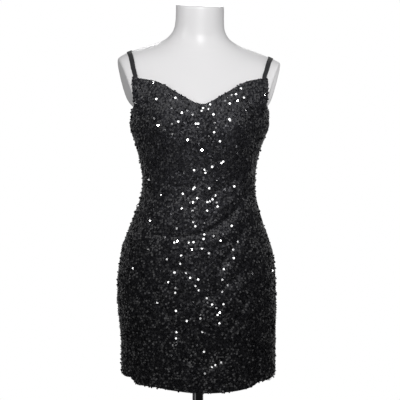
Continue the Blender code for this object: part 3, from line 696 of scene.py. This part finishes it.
class DressColours(bpy.types.PropertyGroup):
    """The colours of the finishes."""

    sequin: colour("Sequins", "The film", "1b1b1e")
    jersey: colour("Jersey", "The ground", "0b0b0d")
    elastic: colour("Elastic", "The straps", "2c2c2e")
    lacquer: colour("Lacquer", "The form", "f0eff0")
    chrome: colour("Chrome", "The stand", "d8d9db")


class StageSizes(bpy.types.PropertyGroup):
    """The camera, the lamps and the floor."""

    lens: FloatProperty(name="Lens", description="Focal length in mm", default=96.0, min=10.0)
    camera_distance: length("Camera distance", "In front of the form's middle", 2.4)
    camera_height: length("Camera height", "Above the floor", 1.35)
    camera_pitch: angle("Camera pitch", "How far the camera looks down", 6.1)
    panel_width: length("Panel width", "Across the large round lamp over the camera", 0.55)
    panel_power: power("Panel power", "Of the large round lamp", 48.5)
    key_power: power("Key power", "Of the small lamp over the camera", 88.0)
    floor_radius: length("Floor radius", "To the rim of the floor, which has faded there", 1.2)


# ---- the form ----

# The height above the armpit over which the arm cuts set in, and how much of the side's width
# counts when the rings are spaced along it.
ARMPIT_BLEND = 0.006
SIDE_WEIGHT = 0.6


def soft_edge(distance, radius):
    """The smaller of distance and 0, rounded off over the radius on both sides of 0."""
    near = np.clip(radius - np.abs(distance), 0.0, radius)
    return np.minimum(distance, 0.0) - near**2 / (4 * radius)


def arms_cut(points, radius):
    """Moves what lies beyond a leaning arm cut back onto it, along the cut's own normal."""
    above = smoothstep(ARMPIT_HEIGHT, ARMPIT_HEIGHT + ARMPIT_BLEND, points[..., 2])
    for cut in ARM_CUTS:
        normal = unit(np.array([cut.side, -cut.toe_in, -ARM_CUT_LEAN]))
        place = np.array([cut.side * cut.half_span, 0.0, ARMPIT_HEIGHT]) + FORM_OFFSET
        distance = (points - place) @ normal
        back = (soft_edge(distance, radius) - distance) * above
        points = points + back[..., None] * normal
    return points


def form_levels(rounding):
    """Heights of the rings: evenly spaced along the figure's side, drawn a little narrower."""
    fine = np.linspace(FORM_BOTTOM + rounding, NECK_TOP - rounding, LEVEL_SAMPLES)
    side = np.stack([SIDE_WEIGHT * read(FIGURE, "half_width", fine), fine], axis=-1)
    run = lengths_along(side, 0)
    return np.interp(np.linspace(0.0, run[-1], FORM_ROWS), run, fine)


def form_surface(sizes):
    """Rings of the figure, closed by a rounded rim and a flat cap at each end.

    A rim's ring shrinks by r(1 - cos a) and moves on by r sin a, and a cap's rings shrink in
    even steps, to a point at the neck and to the pole's socket at the thighs.
    """
    turns = np.linspace(0.0, 2 * math.pi, FORM_COLUMNS, endpoint=False)
    rounding = sizes.rim_rounding
    body = section_points(turns[None, :], form_levels(rounding)[:, None])
    arc = np.linspace(0.0, QUARTER_TURN, RIM_RINGS)[1:, None, None]
    rings = []
    for ring, way in ((body[0], -1.0), (body[-1], 1.0)):
        middle = ring.mean(axis=0)
        outwards = (ring - middle) * [1.0, 1.0, 0.0]
        inwards = unit(outwards) * rounding
        rim = ring - inwards * (1 - np.cos(arc)) + np.array([0, 0, way * rounding]) * np.sin(arc)
        rings.append(rim)
    foot, neck = rings
    share = np.linspace(1.0, 0.0, CAP_RINGS)[1:, None, None]
    centre = neck[-1].mean(axis=0)
    cap = centre + (neck[-1] - centre) * share
    reach = POLE_RADIUS + POLE_FIT
    x, y = reach * np.sin(turns) - FORM_OFFSET[0], -reach * np.cos(turns)
    socket = np.stack([x, y, np.full_like(turns, FORM_BOTTOM)], axis=-1)
    floor = socket + (foot[-1] - socket) * share
    shaft = socket + np.array([0.0, 0.0, SOCKET_DEPTH])
    shaft_end = np.broadcast_to(shaft.mean(axis=0), shaft.shape)
    under = np.concatenate([foot, floor, shaft[None], shaft_end[None]])[::-1]
    levels = np.concatenate([under, body, neck, cap])
    slope = NECK_CUT_SLOPE * smoothstep(NECK_CUT_STARTS, NECK_TOP, levels[..., 2])
    levels[..., 2] += slope * levels[..., 1]
    return arms_cut(tilted(levels) + FORM_OFFSET, sizes.edge_rounding)


class DRESS_OT_form(bpy.types.Operator):
    """Build the limbless torso of the dress form"""

    bl_idname = "dress.form"
    bl_label = "Dress form"

    def execute(self, context):
        sizes, colours = context.scene.form_sizes, context.scene.dress_colours
        levels = form_surface(sizes)
        faces = grid_faces(len(levels), FORM_COLUMNS, closed=True)
        torso = made_piece("form_skin", levels, faces, white_lacquer(colours.lacquer))
        weld = torso.modifiers.new("closed_ends", "WELD")
        weld.merge_threshold = WELD_DISTANCE
        carried(torso, "form_lacquer", "form_torso")
        return {"FINISHED"}


# ---- the cloth ----

# The jersey lies GROUND_DEPTH inside the face that the ease gives, the two panels stand
# SEAM_GAP apart at the side seams, and COLUMN_HOLD keeps the columns straight up to near the
# armholes, which the last ones follow.
GROUND_DEPTH = 0.0008
SEAM_GAP = 0.0006
COLUMN_HOLD = 4


def front_grid():
    """Turns and heights of the front: columns that follow the side seam, then the armhole."""
    across = np.linspace(-1.0, 1.0, CLOTH_COLUMNS + 1)[None, :]
    edge = np.abs(across) ** COLUMN_HOLD
    corner = armhole_turn(np.array(NECKLINE[-1].height))
    top = np.full_like(across, NECKLINE[-1].height)
    for _ in range(TOP_ROUNDS):
        top = neckline_height(across * (corner * (1 - edge) + armhole_turn(top) * edge))
    hem = hem_height(HEM_FRONT, QUARTER_TURN * across)
    level = ARMHOLE[0].height - ARMPIT_LEVEL_DIP * (NECKLINE[-1].height - top)
    lower = np.linspace(0.0, 1.0, SEAM_ROWS + 1)[:, None]
    upper = np.linspace(0.0, 1.0, ARMHOLE_ROWS + 1)[1:, None] ** ARMHOLE_CROWDING
    height = np.concatenate([hem + (level - hem) * lower, level + (top - level) * upper])
    drawn_in = smoothstep(DRAW_IN_STARTS, top, height)
    easy_turn = QUARTER_TURN - (QUARTER_TURN - corner) * drawn_in
    return across * (easy_turn * (1 - edge) + armhole_turn(height) * edge), height


def back_grid():
    """Turns and heights of the back: even columns between its hem and its top edge."""
    turn = np.linspace(QUARTER_TURN, 3 * QUARTER_TURN, CLOTH_COLUMNS + 1)[None, :]
    hem, top = hem_height(HEM_BACK, turn), back_top_height(turn)
    height = hem + (top - hem) * np.linspace(0.0, 1.0, SEAM_ROWS + 1)[:, None]
    return np.broadcast_to(turn, height.shape), height


def ground_cloth(name, turn, height, seam_shift, finish, thickness):
    """The jersey under the sequins: the cloth's face sunk by the sequins' own depth."""
    outer = cloth_points(turn, height) - GROUND_DEPTH * cloth_normals(turn, height)
    outer = outer + FORM_OFFSET + np.array([0.0, seam_shift, 0.0])
    flat = np.stack([lengths_along(outer, 1), lengths_along(outer, 0)], axis=-1).reshape(-1, 2)
    faces = grid_faces(*turn.shape)
    return with_wall(made_piece(name, outer, faces, finish, {"cloth": flat}), thickness)


# ---- sequins ----

# The figure's mean radius, which makes a length of a turn.
MEAN_RADIUS = 0.14
# The layers of sequins: how many sides a disc has, where it lies above the jersey in layer
# depths, at least and at most, how much it has of its own lean and of the patches' lean, the
# jitter of its place in spacings, the share that stand off on slack threads, and how far a
# disc's middle stays inside the edges, at least and at most, in radii.
UNDER, OVER = table(
    "sides lowest highest lean patch jitter loose least_in most_in",
    (6, 0.2, 1.0, 0.90, 0.16, 0.17, 0.005, 0.10, 1.00),
    (8, 1.7, 2.1, 0.92, 1.00, 0.20, 0.09, -0.60, 1.10),
)
# How far the discs on slack threads lean, the share of the way that weight turns any disc
# towards hanging plumb, the furthest lean, and how much of its leaning radius lifts a disc.
LOOSE_TILT = math.radians(45)
HANG_SHARE = 0.35
MOST_TILT = math.radians(68)
LEAN_LIFT = 0.8
# A margin below HEM_SLACK_BELOW, which is outside the edge, grows HEM_SLACK times at the hem,
# where those discs dangle, and any other shrinks to HEM_HOLD of itself.
HEM_SLACK_BELOW = -0.0009
HEM_SLACK = 2.6
HEM_HOLD = 0.9
# How the places are laid out: rows ROW_SHARE of a spacing apart, as in a triangular net, from
# LAYOUT_BOTTOM up, whose heights vary HEIGHT_JITTER times as much as the places along them.
# ROW_END keeps each row's running length, as a share, short of the next row's start.
LAYOUT_BOTTOM = 0.6689
LAYOUT_TURNS = 721
LAYOUT_LEVELS = 900
LAYOUT_SKIP = 40
ROW_SHARE = 0.866
ROW_START = 0.25
ROW_END = 0.999
HEIGHT_JITTER = 0.9
# The turn over which an edge's slope is measured, and the most that a slope widens a margin.
EDGE_PROBE = 0.01
STEEPEST = 4.0
# A disc's radius in its own cell of the map for baking.
CELL_RADIUS = 0.4


def sequin_layout(first_turn, last_turn, spacing, jitter, seed):
    """Jittered places in staggered rows, as turns and heights, and each one's random numbers.

    Rows are evenly far apart along the cloth on average, and in each row the places are
    evenly far apart by running length, which is turned back into turns by interpolation.
    """
    chance = np.random.default_rng(seed)
    turns = np.linspace(first_turn, last_turn, LAYOUT_TURNS)
    fine = np.linspace(LAYOUT_BOTTOM, NECKLINE[-1].height, LAYOUT_LEVELS)
    columns = cloth_points(turns[None, ::LAYOUT_SKIP], fine[:, None])
    upright = lengths_along(columns, 0).mean(axis=1)
    rows = int(upright[-1] / (spacing * ROW_SHARE))
    heights = np.interp(np.linspace(0, upright[-1], rows), upright, fine)
    run = lengths_along(cloth_points(turns[None, :], heights[:, None]), 1)
    whole = run[:, -1:]
    count = np.floor(whole / spacing)
    number = np.arange(rows)[:, None]
    place = np.arange(int(count.max()))[None, :] + 0.5 * (number % 2) + ROW_START
    place = place + chance.normal(0.0, jitter, place.shape)
    share = place / count
    kept = (share > 0.0) & (share < 1.0)
    row = np.broadcast_to(number, share.shape)[kept]
    stacked = (run / whole * ROW_END + number).ravel()
    turn = np.interp(row + share[kept] * ROW_END, stacked, np.tile(turns, rows))
    height = heights[row] + chance.normal(0.0, HEIGHT_JITTER * jitter * spacing, row.shape)
    return turn, height, chance


def inside_edges(turn, height, is_front, margin):
    """True where a sequin's middle is the margin or more inside the top edge and the hem.

    Those that may lie the furthest outside hang further still below the hem, on slack threads.
    The margin at the top grows by sqrt(1 + slope^2), because it is measured square to the edge.
    """
    if is_front:
        line_turn, line_height = front_top_line(EDGE_STEPS)
        top, beside = (
            np.interp(at, line_turn[::-1], line_height[::-1]) for at in (turn, turn + EDGE_PROBE)
        )
    else:
        top, beside = back_top_height(turn), back_top_height(turn + EDGE_PROBE)
    hem = hem_height(HEM_FRONT if is_front else HEM_BACK, turn)
    step = cloth_points(turn + EDGE_PROBE, top) - cloth_points(turn, top)
    reach = np.maximum(np.linalg.norm(step, axis=-1), NEAR_ZERO)
    steepness = np.minimum(np.sqrt(1 + ((beside - top) / reach) ** 2), STEEPEST)
    lift = margin * np.where(margin < HEM_SLACK_BELOW, HEM_SLACK, HEM_HOLD)
    return (height < top - margin * steepness) & (height > hem + lift)


def soft_noise(turn, height, cell, chance):
    """Random numbers on a lattice of square cells, blended between its corners by smoothsteps."""
    place = np.stack([turn * MEAN_RADIUS, height], axis=-1) / cell
    place = place - place.min(axis=0)
    corner = np.floor(place).astype(int)
    share = smoothstep(0.0, 1.0, place - corner)
    lattice = chance.normal(0.0, 1.0, tuple(corner.max(axis=0) + 2))
    i, j = corner[:, 0], corner[:, 1]
    low = lattice[i, j] * (1 - share[:, 0]) + lattice[i + 1, j] * share[:, 0]
    high = lattice[i, j + 1] * (1 - share[:, 0]) + lattice[i + 1, j + 1] * share[:, 0]
    return low * (1 - share[:, 1]) + high * share[:, 1]


def sequins(name, is_front, sizes, layer, spacing, finish, seed):
    """One layer of flat discs over a panel, leaning at random and lifted by their lean.

    A disc's normal is the cloth's, plus a bell-curve lean across and up, plus a lean that it
    shares with its neighbours, plus a share of the lean that would hang it plumb. Its middle
    is raised by LEAN_LIFT of its radius times the sine of the lean, which keeps its rim near
    the cloth, and by its own place in the layers of discs.
    """
    start = -QUARTER_TURN if is_front else QUARTER_TURN
    turn, height, chance = sequin_layout(start, start + math.pi, spacing, layer.jitter, seed)
    radius = sizes.sequin_width / 2
    margin = radius * chance.uniform(layer.least_in, layer.most_in, turn.shape)
    kept = inside_edges(turn, height, is_front, margin)
    turn, height = turn[kept], height[kept]
    count = len(turn)
    normal = cloth_normals(turn, height)
    foot = cloth_points(turn, height) - GROUND_DEPTH * normal + FORM_OFFSET
    across = unit(np.cross(np.array([0.0, 0.0, 1.0]), normal))
    up = np.cross(normal, across)
    loose = chance.random(count) < layer.loose
    spread = np.where(loose, LOOSE_TILT, sizes.sequin_tilt * layer.lean)
    shared = [
        layer.patch * sizes.patch_tilt * soft_noise(turn, height, sizes.patch_width, chance)
        for _ in range(2)
    ]
    lean_across = chance.normal(0.0, 1.0, count) * spread + shared[0]
    plumb = -HANG_SHARE * np.arcsin(cloth_normals(turn, height, folded=False)[:, 2])
    lean_up = chance.normal(0.0, 1.0, count) * spread + shared[1] + plumb
    lean = np.hypot(lean_across, lean_up)
    held = np.minimum(lean, MOST_TILT) / np.maximum(lean, NEAR_ZERO)
    lean_across, lean_up, lean = lean_across * held, lean_up * held, lean * held
    way = lean_across[:, None] * across + lean_up[:, None] * up
    way = way / np.maximum(lean, NEAR_ZERO)[:, None]
    face = np.cos(lean)[:, None] * normal + np.sin(lean)[:, None] * way
    rise = sizes.layer_depth * chance.uniform(layer.lowest, layer.highest, count)
    middle = foot + (rise + LEAN_LIFT * radius * np.sin(lean))[:, None] * normal
    first = unit(across - (across * face).sum(axis=1, keepdims=True) * face)
    second = np.cross(face, first)
    spin = chance.uniform(0.0, 2 * math.pi, count)
    corner = np.arange(layer.sides) * 2 * math.pi / layer.sides
    angle = spin[:, None] + corner
    out = np.cos(angle)[..., None] * first[:, None] + np.sin(angle)[..., None] * second[:, None]
    local = np.zeros((count, layer.sides, 3))
    local[..., 0], local[..., 1] = np.cos(corner), np.sin(corner)
    local[..., 2] = chance.random(count)[:, None]
    faces = np.arange(count * layer.sides).reshape(count, layer.sides)
    side = math.ceil(math.sqrt(count))
    cell = np.stack([np.arange(count) % side, np.arange(count) // side], axis=-1)[:, None]
    flat = {"OFBake": ((cell + 0.5 + CELL_RADIUS * local[..., :2]) / side).reshape(-1, 2)}
    disc = [("disc", local.reshape(-1, 3))]
    return made_piece(name, middle[:, None] + radius * out, faces, finish, flat, False, disc)


# The panels: the shift that opens the seams, the seeds of their layers of sequins, and the
# size and the area of the cloth that each is cut from.
PANELS = table(
    "side grid shift seeds flat area",
    ("front", front_grid, -SEAM_GAP / 2, (11, 68), (0.46, 0.70), 0.275),
    ("back", back_grid, SEAM_GAP / 2, (13, 14), (0.46, 0.65), 0.270),
)


class DRESS_OT_cloth(bpy.types.Operator):
    """Build the jersey panels and the sequins sewn over them"""

    bl_idname = "dress.cloth"
    bl_label = "Cloth and sequins"

    def execute(self, context):
        sizes, colours = context.scene.dress_sizes, context.scene.dress_colours
        jersey = knit_jersey(colours.jersey)
        dull = sequin_film("sequin_film_dulled", colours.sequin, 0.0)
        sharp = sequin_film("sequin_film_polished", colours.sequin, 1.0)
        wall = sizes.ground_thickness
        layers = (
            ("sequins", UNDER, sizes.under_spacing, dull),
            ("top_sequins", OVER, sizes.over_spacing, sharp),
        )
        cloths = []
        for panel in PANELS:
            cloth = ground_cloth(f"{panel.side}_cloth", *panel.grid(), panel.shift, jersey, wall)
            cloths.append(carried(cloth, "sequinned_cloth", f"{panel.side}_panel"))
        for panel, cloth in zip(PANELS, cloths):
            for (kind, layer, spacing, film), seed in zip(layers, panel.seeds):
                name, is_front = f"{panel.side}_{kind}", panel.side == "front"
                made = sequins(name, is_front, sizes, layer, spacing, film, seed)
                carried(made, "sequinned_cloth")
        return {"FINISHED"}


# ---- rolled edges ----

# How far a corner of the path is rounded off, and the roll's thickness over its width.
EDGE_CORNER = 0.003
EDGE_FLATNESS = 0.8


def rounded_path(points, reach):
    """A closed path, even along its length, its corners rounded by a running mean.

    The mean takes in the reach on both sides of a point, and one step at the least.
    """
    ring = np.concatenate([points, points[:1]])
    run = lengths_along(ring, 0)
    even = np.linspace(0.0, run[-1], EDGE_STEPS, endpoint=False)
    path = np.stack([np.interp(even, run, ring[:, axis]) for axis in range(3)], axis=-1)
    width = max(1, round(reach / (run[-1] / EDGE_STEPS)))
    offsets = range(-width, width + 1)
    return sum(np.roll(path, offset, axis=0) for offset in offsets) / len(offsets)


def rolled_edge(name, turn, height, sizes, finish):
    """A tube along an edge: an ellipse carried along the path, its long axis down the cloth."""
    normal = cloth_normals(turn, height)
    middle = cloth_points(turn, height) - (GROUND_DEPTH + sizes.ground_thickness / 2) * normal
    path = rounded_path(middle + FORM_OFFSET, EDGE_CORNER)
    outward = unit(rounded_path(normal, 0.0))
    along = unit(np.roll(path, -1, axis=0) - np.roll(path, 1, axis=0))
    outward = unit(outward - (outward * along).sum(axis=1, keepdims=True) * along)
    aside = np.cross(along, outward)
    angle = np.arange(EDGE_SIDES) * 2 * math.pi / EDGE_SIDES
    half = sizes.edge_width / 2
    thick = half * EDGE_FLATNESS * np.cos(angle)[None, :, None] * outward[:, None]
    wide = half * np.sin(angle)[None, :, None] * aside[:, None]
    points = path[:, None] + thick + wide
    points = np.concatenate([points, points[:1]])
    run = lengths_along(points, 0)
    flat = np.stack([np.broadcast_to(angle * half, run.shape), run], axis=-1).reshape(-1, 2)
    faces = grid_faces(len(points), EDGE_SIDES, closed=True)
    made = made_piece(name, points, faces[:, ::-1], finish, {"cloth": flat})
    weld = made.modifiers.new("closed_ring", "WELD")
    weld.merge_threshold = WELD_DISTANCE
    return made


class DRESS_OT_edges(bpy.types.Operator):
    """Build the rolled edges round the top and the hem"""

    bl_idname = "dress.edges"
    bl_label = "Rolled edges"

    def execute(self, context):
        sizes, colours = context.scene.dress_sizes, context.scene.dress_colours
        jersey = knit_jersey(colours.jersey)
        front = np.linspace(-QUARTER_TURN, QUARTER_TURN, EDGE_STEPS // 2)
        back = np.linspace(QUARTER_TURN, 3 * QUARTER_TURN, EDGE_STEPS // 2)[1:-1]
        top_turn, top_height = front_top_line(EDGE_STEPS)
        rings = (
            ("top_edge", top_turn[::-1], top_height[::-1], back_top_height(back)),
            ("hem_edge", front, hem_height(HEM_FRONT, front), hem_height(HEM_BACK, back)),
        )
        for name, turn, height, height_behind in rings:
            turn, height = np.append(turn, back), np.append(height, height_behind)
            carried(rolled_edge(name, turn, height, sizes, jersey), "sequinned_cloth")
        return {"FINISHED"}


# ---- straps ----

# How deep the grooves between the ribs are, how far the sides are rounded off, by a high power
# of the distance from the middle, and how much thinner than the elastic its wall is made, to
# keep off the form. LONGEST_RAY reaches out of the figure from anywhere inside it.
GROOVE_DEPTH = 0.00018
SIDE_ROUNDING = 0.00035
SIDE_POWER = 8
INNER_RELIEF = 0.0002
LONGEST_RAY = 0.2


def inside_figure(points, share):
    """|x/width|^n + |y/depth|^n - 1, with a share of the ease: below 0 inside the figure."""
    x, y, height = points[..., 0], points[..., 1], points[..., 2]
    ease = read(EASE, "off", height) * share
    roundness, middle, half_width, front, back = section_at(height, ease)
    in_front = y < middle
    depth = np.where(in_front, front, back)
    y = np.where(in_front, y + bust(x, height, DRESS_BRIDGE, DRESS_BUST_FALL), y)
    across = np.abs(x - read(FIGURE, "sway", height)) / half_width
    return across**roundness + (np.abs(y - middle) / depth) ** roundness - 1


def over_shoulder(x, angle, share):
    """Where a ray from inside the shoulder leaves the figure, found by halving its length.

    The ray lies in the upright plane through x. angle is 0 straight up and grows backwards.
    """
    start = np.stack([x, np.full_like(x, STRAP_PIVOT_Y), np.full_like(x, STRAP_PIVOT_Z)], axis=-1)
    way = np.stack([np.zeros_like(x), np.sin(angle), np.cos(angle)], axis=-1)
    near, far = np.zeros_like(x), np.full_like(x, LONGEST_RAY)
    for _ in range(HALVINGS):
        half = (near + far) / 2
        inside = inside_figure(start + half[..., None] * way, share) < 0
        near = np.where(inside, half, near)
        far = np.where(inside, far, half)
    return start + near[..., None] * way


def strap_surface(side, sizes):
    """A strap's outer face by its angle and the distance aside, ribbed by a rounded wave."""
    columns = 4 * sizes.strap_ribs + 1
    angle = np.linspace(STRAP_FRONT_END, STRAP_BACK_END, STRAP_ROWS + 1)[:, None]
    aside = np.linspace(-sizes.strap_width / 2, sizes.strap_width / 2, columns)[None, :]
    aside, angle = np.broadcast_arrays(aside, angle)

    def surface(aside, angle):
        x = side * read(STRAP_ROUTE, "across", angle) + aside
        return over_shoulder(x, angle, 1 - read(STRAP_ROUTE, "on_form", angle))

    along = surface(aside + SLOPE_STEP, angle) - surface(aside - SLOPE_STEP, angle)
    up = surface(aside, angle + SLOPE_STEP) - surface(aside, angle - SLOPE_STEP)
    on_form = read(STRAP_ROUTE, "on_form", angle)[..., None]
    off = (STRAP_REST + sizes.strap_thickness) * on_form - STRAP_BEHIND_CLOTH * (1 - on_form)
    wave = np.abs(np.cos(math.pi * sizes.strap_ribs * aside / sizes.strap_width))
    edge = np.abs(2 * aside / sizes.strap_width) ** SIDE_POWER
    groove = GROOVE_DEPTH * (1 - np.sqrt(wave)) + SIDE_ROUNDING * edge
    outer = surface(aside, angle) + (off - groove[..., None]) * unit(np.cross(along, up))
    return tilted(outer) + FORM_OFFSET


class DRESS_OT_straps(bpy.types.Operator):
    """Build the two elastic shoulder straps"""

    bl_idname = "dress.straps"
    bl_label = "Straps"

    def execute(self, context):
        sizes, colours = context.scene.dress_sizes, context.scene.dress_colours
        elastic = woven_elastic(colours.elastic)
        for name, side in (("strap_right", -1), ("strap_left", 1)):
            outer = strap_surface(side, sizes)
            run = lengths_along(outer, 0)
            flat = np.stack([lengths_along(outer, 1), run], axis=-1).reshape(-1, 2)
            faces = grid_faces(*outer.shape[:2])
            band = made_piece(f"{name}_band", outer, faces, elastic, {"cloth": flat})
            with_wall(band, sizes.strap_thickness - INNER_RELIEF)
            carried(band, "strap_elastic", name)
        return {"FINISHED"}


class DRESS_OT_stand(bpy.types.Operator):
    """Give the pole, the collar and the base plate their plating"""

    bl_idname = "dress.stand"
    bl_label = "Stand"

    def execute(self, context):
        chrome = bright_chrome(context.scene.dress_colours.chrome)
        for name in ("form_pole", "base_collar", "base_plate"):
            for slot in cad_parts[name].material_slots:
                slot.material = chrome
        return {"FINISHED"}


# ---- the stage ----

# Where the floor fades out, in metres from its middle, and the camera's sensor in millimetres.
FLOOR_FADES_FROM = 0.45
FLOOR_FADES_TO = 1.15
SENSOR_WIDTH = 36.0


def floor_paint():
    """Matt pale floor paint that fades out at its rim, where the backdrop takes over."""
    finish, tree, shader = new_finish(
        "matt_floor_paint", Roughness=0.9, Base_Color=(*from_hex("e4e4e4"), 1.0)
    )
    place = add_node(tree, "TexCoord").outputs["Object"]
    away = add_node(tree, "VectorMath", {0: place}, operation="LENGTH").outputs["Value"]
    span = {"Value": away, "From Min": FLOOR_FADES_FROM, "From Max": FLOOR_FADES_TO}
    fade = add_node(tree, "MapRange", span, interpolation_type="SMOOTHSTEP")
    clear = add_node(tree, "BsdfTransparent")
    mixed = add_node(tree, "MixShader", {0: fade, 1: shader, 2: clear})
    set_inputs(tree.nodes["Material Output"], {"Surface": mixed})
    return finish


# Each half of the room has its brightness by level, 0 straight down and 1 straight up. The one
# behind the form takes over between two shares of the way to straight behind it.
ROOM_AHEAD = table(
    "level shade",
    (0.00, 0.14), (0.14, 0.14), (0.22, 0.04), (0.32, 0.005), (0.46, 0.02), (0.58, 0.12),
    (0.70, 0.32), (0.82, 0.45), (1.00, 0.30),
)
ROOM_BEHIND = table(
    "level shade",
    (0.00, 0.10), (0.33, 0.10), (0.42, 0.24), (0.56, 0.36), (0.62, 0.24), (0.78, 0.08),
    (0.84, 0.40),
)
BEHIND_FROM = 0.20
BEHIND_TO = 0.75


def studio_world(scene):
    """A white backdrop to the eye, and a dim room as light, with a bright band high up."""
    world = bpy.data.worlds.new("studio")
    world.use_nodes = True
    tree = world.node_tree
    tree.nodes.clear()
    way = add_node(tree, "TexCoord").outputs["Generated"]
    parts = add_node(tree, "SeparateXYZ", {0: way}).outputs
    level = add_node(tree, "MapRange", {"Value": parts["Z"], "From Min": -1.0})
    ahead, behind = (
        add_node(tree, "ValToRGB", {0: level}, [(row.level, (row.shade,) * 3) for row in room])
        for room in (ROOM_AHEAD, ROOM_BEHIND)
    )
    span = {"Value": parts["Y"], "From Min": BEHIND_FROM, "From Max": BEHIND_TO}
    turned = add_node(tree, "MapRange", span, interpolation_type="SMOOTHSTEP")
    room = add_node(tree, "Mix", {0: turned, 6: ahead, 7: behind}, data_type="RGBA").outputs[2]
    light = add_node(tree, "Background", {"Color": room})
    white = add_node(tree, "Background", {"Color": (1, 1, 1, 1)})
    eye = add_node(tree, "LightPath").outputs["Is Camera Ray"]
    seen = add_node(tree, "MixShader", {0: eye, 1: light, 2: white})
    add_node(tree, "OutputWorld", {"Surface": seen})
    scene.world = world


# The lamps: where each stands, the point that it aims at, the width of its cone in degrees, how
# wide it is and its power in watts. The two over the camera have their power from the panel in
# the sidebar, and the panel lamp its width too. A lamp with no cone is a soft disc.
KEY, PANEL, *OTHER_LAMPS = table(
    "name place aim cone width power",
    ("key_lamp", (0.16, -2.40, 1.65), (0.0, 0.0, 1.43), 31, 0.06, None),
    ("panel_lamp", (0.20, -2.40, 1.62), (0.0, 0.0, 1.45), 50, None, None),
    ("left_fill_lamp", (1.70, -1.10, 1.60), (0.0, 0.0, 1.42), 26, 0.06, 16.0),
    ("right_fill_lamp", (-1.70, -1.10, 1.60), (0.0, 0.0, 1.42), 26, 0.06, 22.0),
    ("left_arm_lamp", (1.10, 0.0, 1.25), (0.18, 0.0, 1.35), 9, 0.06, 21.5),
    ("right_arm_lamp", (-1.10, 0.0, 1.25), (-0.18, 0.0, 1.355), 10, 0.06, 2.0),
    ("neck_lamp", (-1.40, -1.80, 1.95), (-0.02, 0.0, 1.52), 13, 0.30, 10.0),
    ("low_lamp", (-1.20, -0.70, 0.30), (0.0, 0.0, 0.68), None, 0.55, 0.14),
    ("back_lamp", (0.0, 2.20, 2.60), (0.0, 0.0, 1.15), None, 1.20, 20.0),
)


def turned_to(place, aim):
    """The rotation of a lamp at a place that turns its light to the point that it aims at."""
    back = unit(np.array(place) - np.array(aim))
    return (math.acos(back[2]), 0.0, math.atan2(back[1], back[0]) + QUARTER_TURN)


def add_lamp(scene, lamp):
    """A round lamp: with a cone one that fades to the cone's edge, without one a soft disc."""
    data = bpy.data.lights.new(lamp.name, "SPOT" if lamp.cone else "AREA")
    data.energy = lamp.power
    if lamp.cone:
        data.shadow_soft_size = lamp.width / 2
        data.spot_size = math.radians(lamp.cone)
        data.spot_blend = 1.0
    else:
        data.shape = "DISK"
        data.size = lamp.width
    made = bpy.data.objects.new(lamp.name, data)
    made.location = lamp.place
    made.rotation_euler = turned_to(lamp.place, lamp.aim)
    scene.collection.objects.link(made)


class DRESS_OT_stage(bpy.types.Operator):
    """Build the floor, the light and the camera"""

    bl_idname = "dress.stage"
    bl_label = "Stage"

    def execute(self, context):
        scene, stage = context.scene, context.scene.stage_sizes
        turns = np.linspace(0.0, 2 * math.pi, FLOOR_COLUMNS, endpoint=False)
        radii = stage.floor_radius * np.linspace(0.0, 1.0, FLOOR_RINGS)[:, None]
        x, y = radii * np.sin(turns), -radii * np.cos(turns)
        disc = np.stack([x, y, np.zeros_like(x)], axis=-1)
        faces = grid_faces(FLOOR_RINGS, FLOOR_COLUMNS, closed=True)[:, ::-1]
        floor = made_piece("floor", disc, faces, floor_paint())
        studio_world(scene)
        key = KEY._replace(power=stage.key_power)
        panel = PANEL._replace(power=stage.panel_power, width=stage.panel_width)
        for lamp in (key, panel, *OTHER_LAMPS):
            add_lamp(scene, lamp)
        data = bpy.data.cameras.new("camera")
        data.lens = stage.lens
        data.sensor_width = SENSOR_WIDTH
        camera = bpy.data.objects.new("camera", data)
        camera.location = (FORM_OFFSET[0], -stage.camera_distance, stage.camera_height)
        camera.rotation_euler = (QUARTER_TURN - stage.camera_pitch, 0.0, 0.0)
        scene.collection.objects.link(camera)
        scene.camera = camera
        scene.view_settings.view_transform = "Standard"
        return {"FINISHED"}


class DRESS_PT_panel(bpy.types.Panel):
    """The sizes, the colours and the pieces in the sidebar"""

    bl_label = "Dress"
    bl_space_type = "VIEW_3D"
    bl_region_type = "UI"
    bl_category = "Dress"

    def draw(self, context):
        for group in GROUPS:
            sizes = getattr(context.scene, group)
            box = self.layout.box()
            for name in sizes.__annotations__:
                box.prop(sizes, name)
        for operator in OPERATORS:
            self.layout.operator(operator.bl_idname)


GROUPS = {
    "dress_sizes": DressSizes,
    "form_sizes": FormSizes,
    "dress_colours": DressColours,
    "stage_sizes": StageSizes,
}
OPERATORS = (
    DRESS_OT_stage,
    DRESS_OT_form,
    DRESS_OT_cloth,
    DRESS_OT_edges,
    DRESS_OT_straps,
    DRESS_OT_stand,
)


def register():
    for group in (*GROUPS.values(), *OPERATORS, DRESS_PT_panel):
        bpy.utils.register_class(group)
    for name, group in GROUPS.items():
        setattr(bpy.types.Scene, name, PointerProperty(type=group))


def unregister():
    for name in GROUPS:
        delattr(bpy.types.Scene, name)
    for group in (DRESS_PT_panel, *reversed(OPERATORS), *reversed(GROUPS.values())):
        bpy.utils.unregister_class(group)


def main():
    register()
    bpy.ops.dress.stage()
    bpy.ops.dress.form()
    bpy.ops.dress.cloth()
    bpy.ops.dress.edges()
    bpy.ops.dress.straps()
    bpy.ops.dress.stand()
    bpy.context.view_layer.update()


if __name__ == "__main__":
    main()
